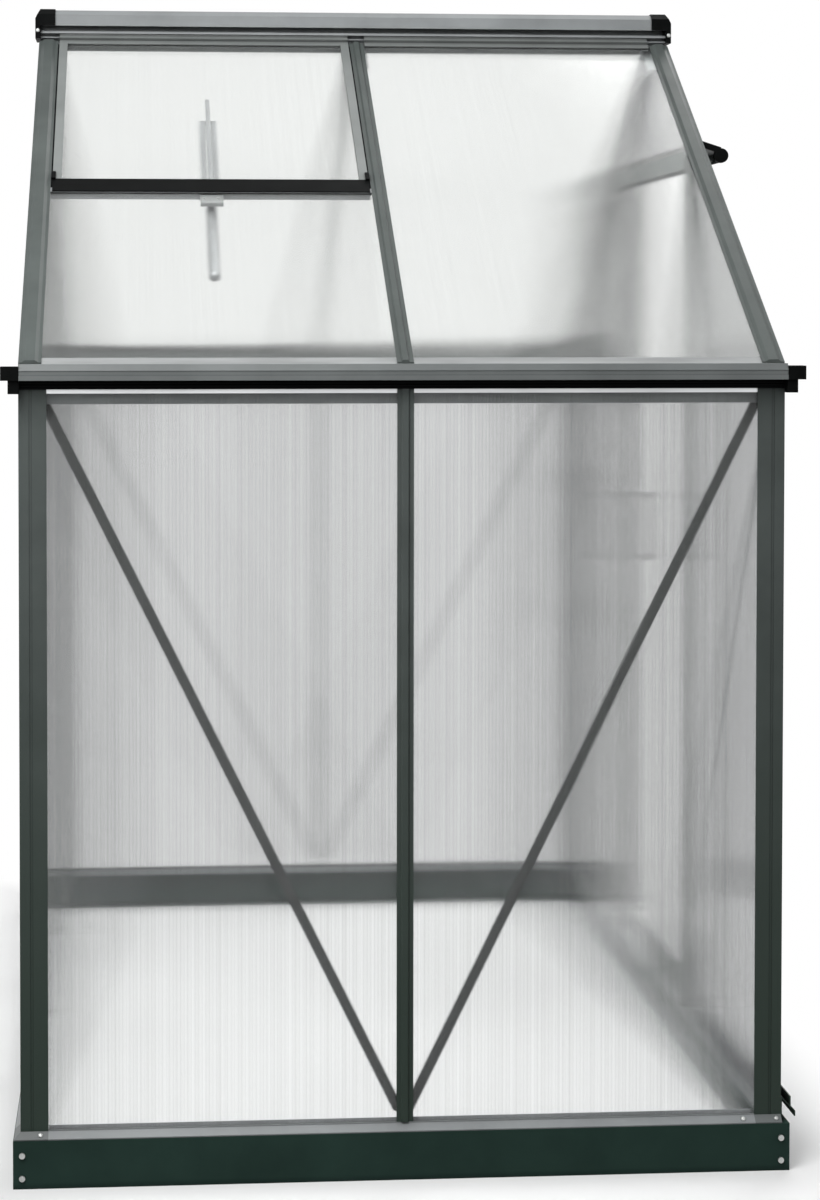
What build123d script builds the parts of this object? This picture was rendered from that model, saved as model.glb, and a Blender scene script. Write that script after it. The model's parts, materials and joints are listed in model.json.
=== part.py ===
from build123d import *
from math import cos, radians, sin, tan
import os

# Small apex greenhouse: aluminium glazing bars on a steel base, twin-wall sheets, one roof vent
# with its stay, and a sliding door hung outside the right gable, stored open.
# X runs along the eaves, Y from the front eave to the back one, Z is up. Millimetres.

# Overall sizes
LENGTH = 1280.0
DEPTH = 1880.0
EAVE_TOP = 1365.0
PITCH = 35.0

# Extruded bars
SKIN = 2.0
BAR_FACE = 28.0
BAR_DEPTH = 26.0
BAR_WEB = 3.0
BAR_HEEL = 16.0
RIB_BASE = 15.0
RIB_TOP = 9.0
RIB_RISE = 3.0
POST_FACE = 46.0
POST_TUBE = 26.0
GROOVE_START = 17.0
GROOVE_WIDTH = 5.0
GROOVE_DEPTH = 1.0
EDGE_FACE = 38.0
EDGE_TUBE = 20.0
EDGE_RIB_BASE = 28.0
EDGE_RIB_TOP = 16.0
EDGE_LIP = 16.0

# Sheets
SHEET = 4.0
FIT = 0.3
SHEET_EDGE = 1.5
EAVE_OVERHANG = 6.0

# Base and sills
BASE_HEIGHT = 80.0
BASE_OUT = 12.0
BASE_WALL = 2.0
BASE_FOOT = 30.0
SILL_RISE = 14.0
DRIP_UP = 12.0
DRIP_OUT = 11.0
BRACKET_LEG = 40.0
BRACKET_LOW = 8.0
BRACKET_DOWN = 12.0
SCREW_INSET = 15.0
SCREW_MARGIN_LOW = 10.0
SCREW_MARGIN_HIGH = 12.0
SCREW_HEAD_R = 5.0
SCREW_HEAD = 3.0
SCREW_NECK = 5.8
SCREW_PLAY = 0.1
SCREW_TAIL = 4.0
ANCHOR_R = 5.0
ANCHOR_INSET = 90.0
ANCHOR_DEPTH = 8.0

# Eave beam with gutter
POST_DROP = 43.0
SEAT_DEPTH = 20.0
INNER_LEG = 25.0
LEG_NOTCH = 28.0
HEEL_NOTCH = 10.0
GUTTER_OUT = 30.0
GUTTER_DROP = 28.0
GUTTER_HEIGHT = 27.0
GUTTER_LIP = 6.0
GUTTER_RECESS_UP = 8.0
GUTTER_FOLD_UP = 16.0
GUTTER_FOLD_IN = 5.0
CAP_LENGTH = 30.0
CAP_HEIGHT = 23.0
CAP_WALL = 3.0
SPOUT_SIDE = 18.0
SPOUT_DROP = 22.0
SPOUT_BORE_R = 6.0

# Ridge
RIDGE_RISE = 36.8
HOOD_HALF = 36.0
HOOD_CROWN_HALF = 24.0
HOOD_SHOULDER = 10.0
HOOD_SKIRT = 32.0
HOOD_WALL = 2.5
RIDGE_WEB = 4.0
RIDGE_SEAT = 70.0
RIDGE_CLEAT = 44.0
RAFTER_STOP = 38.0
GROOVE_R = 5.0
GROOVE_WALL = 3.0
GROOVE_OFFSET = 24.0
GROOVE_LIFT = 4.0
GROOVE_MOUTH = (165.0, 240.0)
MOUTH_REACH = 12.0
GROOVE_ARM = 2.5
HINGE_PLAY = 0.08
RIDGE_CAP_LENGTH = 10.0
RIDGE_CAP_SLEEVE = 30.0
RIDGE_CAP_WALL = 2.0
RIDGE_CAP_DROP = 58.0
RIDGE_CAP_SLANT = 20.0

# Rails hooked into the ridge groove
NECK = 3.0
NECK_LENGTH = 12.0
HOOK_WEB = 3.0
HOOK_END = 30.0

# Roof vent
VENT_GAP = 3.0
VENT_LENGTH = 570.0
VENT_RAIL = 16.0
VENT_OVER = 2.0
VENT_UNDER = 10.0
VENT_FOOT = 22.0
VENT_FOOT_WALL = 8.0
VENT_LIP = 20.0
VENT_BITE = 9.0
VENT_SLOT = 10.0
CROSS_CHANNEL = 12.0
CROSS_WEB = 2.0
CROSS_GAP = 6.0
CROSS_LEDGE = 26.0

# Vent stay
STAY_PIVOT_UP = 19.0
STAY_PIVOT_DEPTH = 38.0
STAY_LUG = 8.0
STAY_PLATE = 42.0
STAY_PLATE_THICK = 3.0
STAY_PIN_R = 3.0
STAY_PIN_PLAY = 0.06
STAY_PIN_REACH = 19.0
STAY_ARM = 250.0
STAY_ARM_THICK = 12.0
STAY_ARM_WIDE = 10.0
STAY_ARM_PLAY = 0.5
STAY_TIP_DEPTH = 27.0
STAY_TIP_R = 4.0
STAY_BODY_R = 10.0
STAY_BODY_LENGTH = 225.0
STAY_BODY_BEVEL = 3.0
STAY_NECK_R = 6.0
STAY_NECK = 14.0
STAY_RAIL_WIDE = 8.0
STAY_RAIL_DEEP = 7.0
STAY_RAIL_LENGTH = 300.0

# Braces
BRACE_WIDE = 17.0
BRACE_THICK = 2.0
BRACE_DROP = 23.0
BRACE_FOOT_UP = 32.0
BRACE_SPREAD = 11.0
BRACE_LAP = 5.0
GABLE_BRACE_DROP = 103.0

# Sliding door
DOOR_LAP = 7.0
DOOR_PARK = 10.0
DOOR_UP = 6.0
DOOR_DROP = 82.03
DOOR_GAP = 8.0
DOOR_THICK = 18.0
STILE = 28.0
DOOR_RAIL = 42.0
MID_RAIL = 50.0
MID_RAIL_HEIGHTS = (750.0, 1060.0)
DOOR_BITE = 10.0
DOOR_WALL = 2.0
HEAD_GAP = 4.0
HEAD_RISE = 34.0

# Door track, rollers and guides
TRACK_OVER_POST = 22.0
TRACK_OVER_CORNER = 12.0
TRACK_GAP = 2.0
TRACK_HEIGHT = 54.0
TRACK_OUT = 50.0
TRACK_BACK = 3.0
TRACK_HOOD = 2.0
TRACK_FALL = 16.0
TRACK_APRON = 20.0
TRACK_LEDGE = 22.0
TRACK_LEDGE_UP = 17.0
BEAD_WIDE = 4.0
BEAD_RISE = 3.0
BEAD_FROM_WALL = 16.0
TRACK_CAP = 8.0
TRACK_CAP_OVER = 2.0
TRACK_BULB_R = 14.0
TRACK_NECK = 10.0
ROLLER_R = 9.0
ROLLER_RIM_R = 11.0
ROLLER_WIDE = 11.0
ROLLER_GROOVE = 5.0
ROLLER_PLAY = 0.3
AXLE_R = 3.0
AXLE_PLAY = 0.06
AXLE_HEAD_R = 5.0
AXLE_HEAD = 2.0
HANGER_WIDE = 32.0
HANGER_THICK = 2.0
HANGER_INSET = 60.0
HANGER_DROP = 30.0
LOWER_TRACK_UP = 28.0
LOWER_TRACK_OUT = 25.0
LOWER_TRACK_SKIRT = 9.0
FIN_FROM_WALL = 17.0
GUIDE_LENGTH = 40.0
GUIDE_WIDE = 12.0
GUIDE_GRIP = 7.0
GUIDE_ROOF = 4.0
HANDLE_REACH = 22.0
HANDLE_LENGTH = 150.0
HANDLE_WIDE = 14.0
HANDLE_BAR = 7.0
HANDLE_HEIGHT = 905.0

# Derived sizes
SLOPE = radians(PITCH)
HALF_LENGTH = LENGTH / 2
HALF_DEPTH = DEPTH / 2
MID_X = (CAP_LENGTH - SKIN - TRACK_OUT - TRACK_CAP_OVER) / 2
SHEET_TOP = SKIN + FIT
SHEET_BOTTOM = SHEET_TOP + SHEET
BAR_LENGTH = HALF_LENGTH - SKIN
SILL_TOP = BASE_HEIGHT + SILL_RISE
BRACKET_HIGH = BASE_HEIGHT - BRACKET_DOWN
SCREW_HEIGHTS = (BRACKET_LOW + SCREW_MARGIN_LOW, BRACKET_HIGH - SCREW_MARGIN_HIGH)
POST_TOP = EAVE_TOP - POST_DROP
INNER_LEG_LOW = POST_TOP - INNER_LEG
GUTTER_FLOOR = EAVE_TOP - GUTTER_DROP
GUTTER_TOP = GUTTER_FLOOR + GUTTER_HEIGHT
CAP_TOP = GUTTER_FLOOR + CAP_HEIGHT
BRACE_TOP = EAVE_TOP - BRACE_DROP
BRACE_FOOT = BASE_HEIGHT + BRACE_FOOT_UP
GABLE_BRACE_TOP = EAVE_TOP - GABLE_BRACE_DROP
BAY_GABLE = (DEPTH - SKIN) / 3
HALF_BAY = BAY_GABLE / 2
LOWER_TRACK_TOP = SILL_TOP + LOWER_TRACK_UP
GUIDE_LOW = LOWER_TRACK_TOP - GUIDE_GRIP
TRACK_START = -HALF_BAY - TRACK_OVER_POST
TRACK_END = HALF_DEPTH + TRACK_OVER_CORNER
DOOR_WIDTH = BAY_GABLE + 2 * DOOR_LAP
DOOR_TRAVEL = BAY_GABLE - DOOR_PARK
DOOR_LOW = LOWER_TRACK_TOP + DOOR_UP
DOOR_FACE = DOOR_GAP + DOOR_THICK
DOOR_MIDDLE = DOOR_GAP + DOOR_THICK / 2
UP = Vector(0, 0, 1)


class Wall:
    """A wall: the foot of its outer face, the way it runs and the way in."""

    def __init__(self, face, run, inward):
        self.face = Vector(*face)
        self.run = Vector(*run)
        self.inward = Vector(*inward)

    def point(self, along, depth, height):
        return self.face + self.run * along + self.inward * depth + UP * height

    def upright(self, along, height):
        """Plan section of a post: local x along the wall, local y into the house."""
        return Plane(origin=self.point(along, 0, height), x_dir=self.run, z_dir=UP)

    def rail(self, along):
        """Cross section of a level rail: local x into the house, local y up."""
        return Plane(origin=self.point(along, 0, 0), x_dir=self.inward, z_dir=self.run)

    def flat(self, depth):
        """The wall seen from outside at a depth: local x along the wall, local y up."""
        return Plane(origin=self.point(0, depth, 0), x_dir=self.run, z_dir=-self.inward)


class Slope:
    """A roof slope, from the outer face of its eave wall up to the ridge."""

    def __init__(self, wall):
        self.run = wall.run
        self.wall = wall
        self.up = wall.inward * cos(SLOPE) + UP * sin(SLOPE)
        self.out = UP * cos(SLOPE) - wall.inward * sin(SLOPE)
        self.foot = wall.face + UP * EAVE_TOP

    def point(self, along, rise, lift):
        return self.foot + self.run * along + self.up * rise + self.out * lift

    def rafter(self, along, rise):
        """Section across the slope: local x along the eave, local y into the house."""
        return Plane(origin=self.point(along, rise, 0), x_dir=self.run, z_dir=self.up)

    def section(self, along):
        """Section along the slope: local x up the slope, local y out of the roof."""
        return Plane(origin=self.point(along, 0, 0), x_dir=self.up, z_dir=self.run)

    def face(self, lift):
        """The slope seen from outside: local x along the eave, local y up the slope."""
        return Plane(origin=self.point(0, 0, lift), x_dir=self.run, z_dir=self.out)


FRONT = Wall((MID_X, -HALF_DEPTH, 0), (1, 0, 0), (0, 1, 0))
BACK = Wall((MID_X, HALF_DEPTH, 0), (-1, 0, 0), (0, -1, 0))
LEFT = Wall((MID_X - HALF_LENGTH, 0, 0), (0, -1, 0), (1, 0, 0))
RIGHT = Wall((MID_X + HALF_LENGTH, 0, 0), (0, 1, 0), (-1, 0, 0))
FRONT_ROOF = Slope(FRONT)
BACK_ROOF = Slope(BACK)
RIDGE_SECTION = Plane(origin=(MID_X - BAR_LENGTH, 0, 0), x_dir=(0, 1, 0), z_dir=(1, 0, 0))


def roof_height(from_ridge, lift):
    """Height of the roof plane, moved out by lift, at a distance from the ridge."""
    return EAVE_TOP + (HALF_DEPTH - abs(from_ridge)) * tan(SLOPE) + lift / cos(SLOPE)


RIDGE_TOP = roof_height(0, 0) + RIDGE_RISE
DOOR_HIGH = roof_height(HALF_BAY, 0) - DOOR_DROP
HEAD_LOW = DOOR_HIGH + HEAD_GAP
TRACK_LOW = DOOR_HIGH + TRACK_GAP
TRACK_TOP = TRACK_LOW + TRACK_HEIGHT
TRACK_LEDGE_Z = TRACK_LOW + TRACK_LEDGE_UP
AXLE_Z = TRACK_LEDGE_Z + SKIN + BEAD_RISE + ROLLER_R
HINGE_RISE = (HALF_DEPTH - GROOVE_OFFSET) / cos(SLOPE) + GROOVE_LIFT * tan(SLOPE)
GROOVE_Z = roof_height(GROOVE_OFFSET, GROOVE_LIFT)
VENT_LOW = HINGE_RISE - VENT_LENGTH


def patch(u_low, u_high, v_low, v_high, mode=Mode.ADD):
    """A rectangle of a sketch, given by its edges."""
    with Locations(((u_low + u_high) / 2, (v_low + v_high) / 2)):
        Rectangle(abs(u_high - u_low), abs(v_high - v_low), mode=mode)


def save(piece, label):
    """Label a finished piece and write it."""
    piece.part.label = label
    export_step(piece.part, f"parts/{label}.step")


def rib(middle, base, top):
    """Raised rib on the outer face of a bar."""
    Polygon(
        (middle - base / 2, 0),
        (middle + base / 2, 0),
        (middle + top / 2, -RIB_RISE),
        (middle - top / 2, -RIB_RISE),
    )


def bar_section(ribbed):
    """Glazing bar: face flange, web and heel, with a rib outside where it is wanted."""
    patch(-BAR_FACE / 2, BAR_FACE / 2, 0, SKIN)
    patch(-BAR_WEB / 2, BAR_WEB / 2, SKIN, BAR_DEPTH - SKIN)
    patch(-BAR_HEEL / 2, BAR_HEEL / 2, BAR_DEPTH - SKIN, BAR_DEPTH)
    if ribbed:
        rib(0, RIB_BASE, RIB_TOP)


def corner_section(side):
    """Corner post: two face flanges on a square tube, with a groove down each face."""
    groove_end = GROOVE_START + GROOVE_WIDTH
    patch(0, side * POST_FACE, 0, SKIN)
    patch(0, side * SKIN, 0, POST_FACE)
    patch(0, side * POST_TUBE, 0, POST_TUBE)
    patch(side * SKIN, side * (POST_TUBE - SKIN), SKIN, POST_TUBE - SKIN, Mode.SUBTRACT)
    patch(side * GROOVE_START, side * groove_end, 0, GROOVE_DEPTH, Mode.SUBTRACT)
    patch(0, side * GROOVE_DEPTH, GROOVE_START, groove_end, Mode.SUBTRACT)


def edge_section(side):
    """Verge rafter: face flange and rib on a tube, with a lip down over the gable sheets."""
    patch(0, side * EDGE_FACE, 0, SKIN)
    patch(0, side * EDGE_TUBE, 0, BAR_DEPTH)
    patch(side * SKIN, side * (EDGE_TUBE - SKIN), SKIN, BAR_DEPTH - SKIN, Mode.SUBTRACT)
    patch(0, side * SKIN, 0, BAR_DEPTH + EDGE_LIP)
    rib(side * EDGE_FACE / 2, EDGE_RIB_BASE, EDGE_RIB_TOP)


def sheet_slot(u_low, u_high):
    """Slot that takes the edge of a roof sheet, cut into a rail across the slope."""
    patch(u_low, u_high, SKIN, SHEET_BOTTOM + FIT, Mode.SUBTRACT)


# Base plinth
def base_channel(label, wall, half):
    end = half + BASE_OUT
    with BuildPart() as channel:
        with BuildSketch(wall.rail(-end)):
            patch(-BASE_OUT, BASE_WALL - BASE_OUT, 0, BASE_HEIGHT)
            patch(-BASE_OUT, BAR_DEPTH, BASE_HEIGHT - BASE_WALL, BASE_HEIGHT)
            patch(-BASE_OUT, BASE_FOOT - BASE_OUT, 0, BASE_WALL)
        extrude(amount=2 * end)
        for side in (-1, 1):
            mitre = Plane(origin=wall.point(side * end, -BASE_OUT, 0), z_dir=wall.run * side + wall.inward)
            split(bisect_by=mitre, keep=Keep.BOTTOM)
        if wall in (FRONT, BACK):
            with BuildSketch(wall.flat(BASE_WALL - BASE_OUT)):
                screw_holes(end)
            extrude(amount=BASE_WALL, mode=Mode.SUBTRACT)
            with BuildSketch(wall.upright(0, 0)):
                for side in (-1, 1):
                    with Locations((side * (half - ANCHOR_INSET), ANCHOR_DEPTH)):
                        Circle(ANCHOR_R)
            extrude(amount=BASE_WALL, mode=Mode.SUBTRACT)
    save(channel, label)


def screw_holes(end):
    """Square clear holes for the necks of the corner bolts near both ends of a base face."""
    for side in (-1, 1):
        for height in SCREW_HEIGHTS:
            with Locations((side * (end - SCREW_INSET), height)):
                Rectangle(SCREW_NECK + 2 * SCREW_PLAY, SCREW_NECK + 2 * SCREW_PLAY)


def base_corner_brackets():
    inner = BASE_WALL - BASE_OUT
    with BuildPart() as brackets:
        for wall in (FRONT, BACK):
            end = HALF_LENGTH + BASE_OUT
            for side in (-1, 1):
                corner = side * (end - BASE_WALL)
                with BuildSketch(wall.upright(corner, BRACKET_LOW)):
                    patch(0, -side * BRACKET_LEG, inner, inner + BASE_WALL)
                    patch(0, -side * BASE_WALL, inner, inner + BRACKET_LEG)
                extrude(amount=BRACKET_HIGH - BRACKET_LOW)
            with BuildSketch(wall.flat(inner + BASE_WALL)):
                screw_holes(end)
            extrude(amount=BASE_WALL, mode=Mode.SUBTRACT)
    save(brackets, "base_corner_brackets")


def base_screws():
    neck = 2 * BASE_WALL + SCREW_TAIL
    with BuildPart() as screws:
        for wall in (FRONT, BACK):
            for side in (-1, 1):
                along = side * (HALF_LENGTH + BASE_OUT - SCREW_INSET)
                for height in SCREW_HEIGHTS:
                    with BuildSketch(wall.flat(-BASE_OUT)):
                        with Locations((along, height)):
                            Circle(SCREW_HEAD_R)
                    extrude(amount=SCREW_HEAD)
                    with BuildSketch(wall.flat(-BASE_OUT)):
                        with Locations((along, height)):
                            Rectangle(SCREW_NECK, SCREW_NECK)
                    extrude(amount=-neck)
    save(screws, "base_screws")


# Sills and uprights
def sill(label, walls, half):
    with BuildPart() as channel:
        for wall in walls:
            with BuildSketch(wall.rail(-half)):
                patch(0, BAR_DEPTH, BASE_HEIGHT, BASE_HEIGHT + SKIN)
                patch(0, SKIN, BASE_HEIGHT, SILL_TOP)
                patch(BAR_DEPTH - SKIN, BAR_DEPTH, BASE_HEIGHT, SILL_TOP)
                if wall is not RIGHT:
                    Polygon(
                        (0, BASE_HEIGHT + DRIP_UP - SKIN),
                        (0, BASE_HEIGHT + DRIP_UP),
                        (-DRIP_OUT, BASE_HEIGHT + SKIN),
                        (-DRIP_OUT, BASE_HEIGHT),
                    )
            extrude(amount=2 * half)
    save(channel, label)


def corner_post(label, wall, side):
    with BuildPart() as post:
        with BuildSketch(wall.upright(side * HALF_LENGTH, BASE_HEIGHT)):
            corner_section(-side)
        extrude(amount=POST_TOP - BASE_HEIGHT)
    save(post, label)


def mid_posts():
    with BuildPart() as posts:
        for wall in (FRONT, BACK):
            with BuildSketch(wall.upright(0, SILL_TOP)):
                bar_section(True)
            extrude(amount=POST_TOP - SILL_TOP)
    save(posts, "mid_posts")


def gable_bar(wall, along, slope, ribbed):
    """An upright of a gable, cut off under the lip of the verge rafter."""
    with BuildSketch(wall.upright(along, SILL_TOP)) as profile:
        bar_section(ribbed)
    extrude(profile.sketch, amount=RIDGE_TOP - SILL_TOP)
    under_lip = Plane(origin=slope.point(0, 0, -BAR_DEPTH - EDGE_LIP), z_dir=slope.out)
    split(bisect_by=under_lip, keep=Keep.BOTTOM)


def left_gable_studs():
    with BuildPart() as rear:
        gable_bar(LEFT, -HALF_BAY, BACK_ROOF, True)
    with BuildPart() as studs:
        gable_bar(LEFT, HALF_BAY, FRONT_ROOF, True)
        add(rear.part)
    save(studs, "left_gable_studs")


def door_post(label, along, slope):
    with BuildPart() as post:
        gable_bar(RIGHT, along, slope, False)
    save(post, label)


# Eaves
def seat_height(depth):
    """Top of the sloping seat that carries the rafters."""
    return EAVE_TOP + depth * tan(SLOPE) - BAR_DEPTH / cos(SLOPE)


def eave_gutter(label, wall):
    leg_top = EAVE_TOP - (SHEET_BOTTOM + FIT) / cos(SLOPE)
    seat_drop = SKIN / cos(SLOPE)
    seat_end = seat_height(SEAT_DEPTH)
    fold = GUTTER_FLOOR + GUTTER_FOLD_UP
    rim = GUTTER_OUT - GUTTER_FOLD_IN
    with BuildPart() as beam:
        with BuildSketch(wall.rail(-BAR_LENGTH)):
            patch(0, SKIN, POST_TOP, leg_top)
            Polygon(
                (0, seat_height(0) - seat_drop),
                (SEAT_DEPTH, seat_end - seat_drop),
                (SEAT_DEPTH, seat_end),
                (0, seat_height(0)),
            )
            patch(SEAT_DEPTH - SKIN, SEAT_DEPTH, INNER_LEG_LOW, seat_end - seat_drop)
            patch(-GUTTER_OUT, 0, GUTTER_FLOOR, GUTTER_FLOOR + SKIN)
            patch(-GUTTER_OUT, SKIN - GUTTER_OUT, GUTTER_FLOOR, fold)
            patch(-GUTTER_OUT, GROOVE_DEPTH - GUTTER_OUT, GUTTER_FLOOR + GUTTER_RECESS_UP, fold, Mode.SUBTRACT)
            Polygon(
                (-GUTTER_OUT, fold),
                (SKIN - GUTTER_OUT, fold),
                (SKIN - rim, GUTTER_TOP),
                (-rim, GUTTER_TOP),
            )
            patch(-rim, GUTTER_LIP - rim, GUTTER_TOP - SKIN, GUTTER_TOP)
        extrude(amount=2 * BAR_LENGTH)
        with BuildSketch(wall.flat(SEAT_DEPTH)):
            patch(-HALF_LENGTH, LEG_NOTCH - HALF_LENGTH, INNER_LEG_LOW, POST_TOP)
            patch(-HEEL_NOTCH, HEEL_NOTCH, INNER_LEG_LOW, POST_TOP)
            patch(HALF_LENGTH - LEG_NOTCH, HALF_LENGTH, INNER_LEG_LOW, POST_TOP)
        extrude(amount=SEAT_DEPTH - SKIN, mode=Mode.SUBTRACT)
    save(beam, label)


def gutter_end_caps():
    middle = -GUTTER_OUT / 2
    with BuildPart() as caps:
        for wall in (FRONT, BACK):
            for side in (-1, 1):
                length = side * CAP_LENGTH
                with BuildSketch(wall.rail(side * BAR_LENGTH)):
                    patch(-GUTTER_OUT, 0, GUTTER_FLOOR, CAP_TOP)
                extrude(amount=length)
                with BuildSketch(wall.rail(side * BAR_LENGTH)):
                    patch(CAP_WALL - GUTTER_OUT, -CAP_WALL, GUTTER_FLOOR + CAP_WALL, CAP_TOP - CAP_WALL)
                extrude(amount=length - side * CAP_WALL, mode=Mode.SUBTRACT)
                spout = side * (BAR_LENGTH + SPOUT_SIDE / 2)
                with BuildSketch(wall.upright(spout, GUTTER_FLOOR - SPOUT_DROP)):
                    with Locations((0, middle)):
                        Rectangle(SPOUT_SIDE, SPOUT_SIDE)
                extrude(amount=SPOUT_DROP)
                with BuildSketch(wall.upright(spout, GUTTER_FLOOR - SPOUT_DROP)):
                    with Locations((0, middle)):
                        Circle(SPOUT_BORE_R)
                extrude(amount=SPOUT_DROP + CAP_WALL, mode=Mode.SUBTRACT)
    save(caps, "gutter_end_caps")


# Roof bars
def rafter(label, slope, along):
    run_over = BAR_DEPTH + EDGE_LIP
    side = (along > 0) - (along < 0)
    wall = slope.wall
    with BuildPart() as bar:
        with BuildSketch(slope.rafter(along, -run_over)):
            if side:
                edge_section(-side)
            else:
                bar_section(True)
        extrude(amount=HALF_DEPTH / cos(SLOPE) + run_over)
        foot_cut = Plane(origin=wall.point(0, SKIN, 0), z_dir=wall.inward)
        split(bisect_by=foot_cut, keep=Keep.TOP)
        head_cut = Plane(origin=wall.point(0, HALF_DEPTH - RAFTER_STOP, 0), z_dir=wall.inward)
        split(bisect_by=head_cut, keep=Keep.BOTTOM)
        split(bisect_by=Plane.XY.offset(POST_TOP), keep=Keep.TOP)
    save(bar, label)


def hood_outline(grow, bottom):
    """Ridge hood from the gable end: an open-bottomed box with sloping shoulders."""
    half = HOOD_HALF + grow
    crown = HOOD_CROWN_HALF + grow / 2
    top = RIDGE_TOP + grow
    shoulder = top - HOOD_SHOULDER - grow / 2
    Polygon(
        (-half, bottom),
        (half, bottom),
        (half, shoulder),
        (crown, top),
        (-crown, top),
        (-half, shoulder),
    )


def ridge_bar():
    skirt = RIDGE_TOP - HOOD_SKIRT
    seat_top = -BAR_DEPTH
    seat_bottom = -BAR_DEPTH - SKIN
    with BuildPart() as ridge:
        with BuildSketch(RIDGE_SECTION):
            for side in (-1, 1):
                with Locations((side * GROOVE_OFFSET, GROOVE_Z)):
                    Circle(GROOVE_R + GROOVE_WALL)
                    Circle(GROOVE_R, mode=Mode.SUBTRACT)
                mouth = [(side * GROOVE_OFFSET, GROOVE_Z)]
                for angle in (GROOVE_MOUTH[0], sum(GROOVE_MOUTH) / 2, GROOVE_MOUTH[1]):
                    reach = -side * MOUTH_REACH * cos(radians(angle))
                    rise = MOUTH_REACH * sin(radians(angle))
                    mouth.append((side * GROOVE_OFFSET + reach, GROOVE_Z + rise))
                Polygon(*mouth, mode=Mode.SUBTRACT)
        extrude(amount=2 * BAR_LENGTH)
        with BuildSketch(RIDGE_SECTION):
            hood_outline(0, skirt)
            inner = HOOD_HALF - HOOD_WALL
            inner_shoulder = RIDGE_TOP - HOOD_SHOULDER - HOOD_WALL / 2
            Polygon(
                (-inner, skirt),
                (inner, skirt),
                (inner, inner_shoulder),
                (HOOD_CROWN_HALF - HOOD_WALL / 2, RIDGE_TOP - HOOD_WALL),
                (HOOD_WALL / 2 - HOOD_CROWN_HALF, RIDGE_TOP - HOOD_WALL),
                (-inner, inner_shoulder),
                mode=Mode.SUBTRACT,
            )
            patch(-RIDGE_WEB / 2, RIDGE_WEB / 2, roof_height(0, seat_bottom), RIDGE_TOP - HOOD_WALL / 2)
            arm_end = GROOVE_OFFSET - GROOVE_R - GROOVE_WALL / 2
            patch(-arm_end, arm_end, GROOVE_Z - GROOVE_ARM / 2, GROOVE_Z + GROOVE_ARM / 2)
        extrude(amount=2 * BAR_LENGTH)
        for start in (0, BAR_LENGTH - RIDGE_CLEAT / 2, 2 * BAR_LENGTH - RIDGE_CLEAT):
            with BuildSketch(RIDGE_SECTION.offset(start)):
                for side in (-1, 1):
                    Polygon(
                        (0, roof_height(0, seat_bottom)),
                        (side * RIDGE_SEAT, roof_height(RIDGE_SEAT, seat_bottom)),
                        (side * RIDGE_SEAT, roof_height(RIDGE_SEAT, seat_top)),
                        (0, roof_height(0, seat_top)),
                    )
            extrude(amount=RIDGE_CLEAT)
    save(ridge, "ridge_bar")


def ridge_end_caps():
    pocket = BAR_LENGTH - RIDGE_CAP_SLEEVE
    skirt = RIDGE_TOP - HOOD_SKIRT
    with BuildPart() as caps:
        for side in (-1, 1):
            end = RIDGE_SECTION.offset(BAR_LENGTH + side * BAR_LENGTH)
            start = RIDGE_SECTION.offset(BAR_LENGTH + side * pocket)
            with BuildSketch(start):
                hood_outline(FIT + RIDGE_CAP_WALL, skirt)
            extrude(amount=side * RIDGE_CAP_SLEEVE)
            with BuildSketch(start):
                hood_outline(FIT, skirt)
            extrude(amount=side * RIDGE_CAP_SLEEVE, mode=Mode.SUBTRACT)
            with BuildSketch(end):
                hood_outline(FIT + RIDGE_CAP_WALL, RIDGE_TOP - RIDGE_CAP_DROP)
            extrude(amount=side * RIDGE_CAP_LENGTH)
            top_edge = end.origin + UP * (RIDGE_TOP + FIT + RIDGE_CAP_WALL)
            slant = Vector(side * RIDGE_CAP_SLANT, 0, RIDGE_CAP_LENGTH)
            split(bisect_by=Plane(origin=top_edge, z_dir=slant), keep=Keep.BOTTOM)
    save(caps, "ridge_end_caps")


def hook_rail(slope, low, high):
    """Rail between two rafters: a bead in the ridge groove, a neck and a channel for a sheet."""
    with BuildSketch(slope.section(low)) as profile:
        with Locations((HINGE_RISE, GROOVE_LIFT)):
            Circle(GROOVE_R - HINGE_PLAY)
        patch(HINGE_RISE - NECK_LENGTH, HINGE_RISE, GROOVE_LIFT - NECK / 2, GROOVE_LIFT + NECK / 2)
        web_foot = HINGE_RISE - NECK_LENGTH - HOOK_WEB
        channel_bottom = -SHEET_BOTTOM - FIT - SKIN
        patch(web_foot, HINGE_RISE - NECK_LENGTH, channel_bottom, GROOVE_LIFT + NECK / 2)
        patch(HINGE_RISE - HOOK_END, web_foot, -SKIN, 0)
        patch(HINGE_RISE - HOOK_END, web_foot, channel_bottom, channel_bottom + SKIN)
    extrude(profile.sketch, amount=high - low)


def bay_edges(side):
    """Clear width of a roof bay between the face flanges, as two places along the eave."""
    inner = BAR_FACE / 2 + VENT_GAP
    outer = HALF_LENGTH - EDGE_FACE - VENT_GAP
    return sorted((side * inner, side * outer))


def sheet_edges(side):
    """Edges of a roof sheet beside the webs of its two rafters."""
    inner = BAR_WEB / 2 + SHEET_EDGE
    outer = HALF_LENGTH - EDGE_TUBE - SHEET_EDGE
    return sorted((side * inner, side * outer))


def ridge_glazing_rails():
    with BuildPart() as rails:
        for slope, side in ((FRONT_ROOF, 1), (BACK_ROOF, -1), (BACK_ROOF, 1)):
            low, high = bay_edges(side)
            hook_rail(slope, low, high)
    save(rails, "ridge_glazing_rails")


# Sheets
def roof_sheet(slope, side, low, high):
    left, right = sheet_edges(side)
    with BuildSketch(slope.face(-SHEET_BOTTOM)) as outline:
        patch(left, right, low, high)
    extrude(outline.sketch, amount=SHEET)


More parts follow.
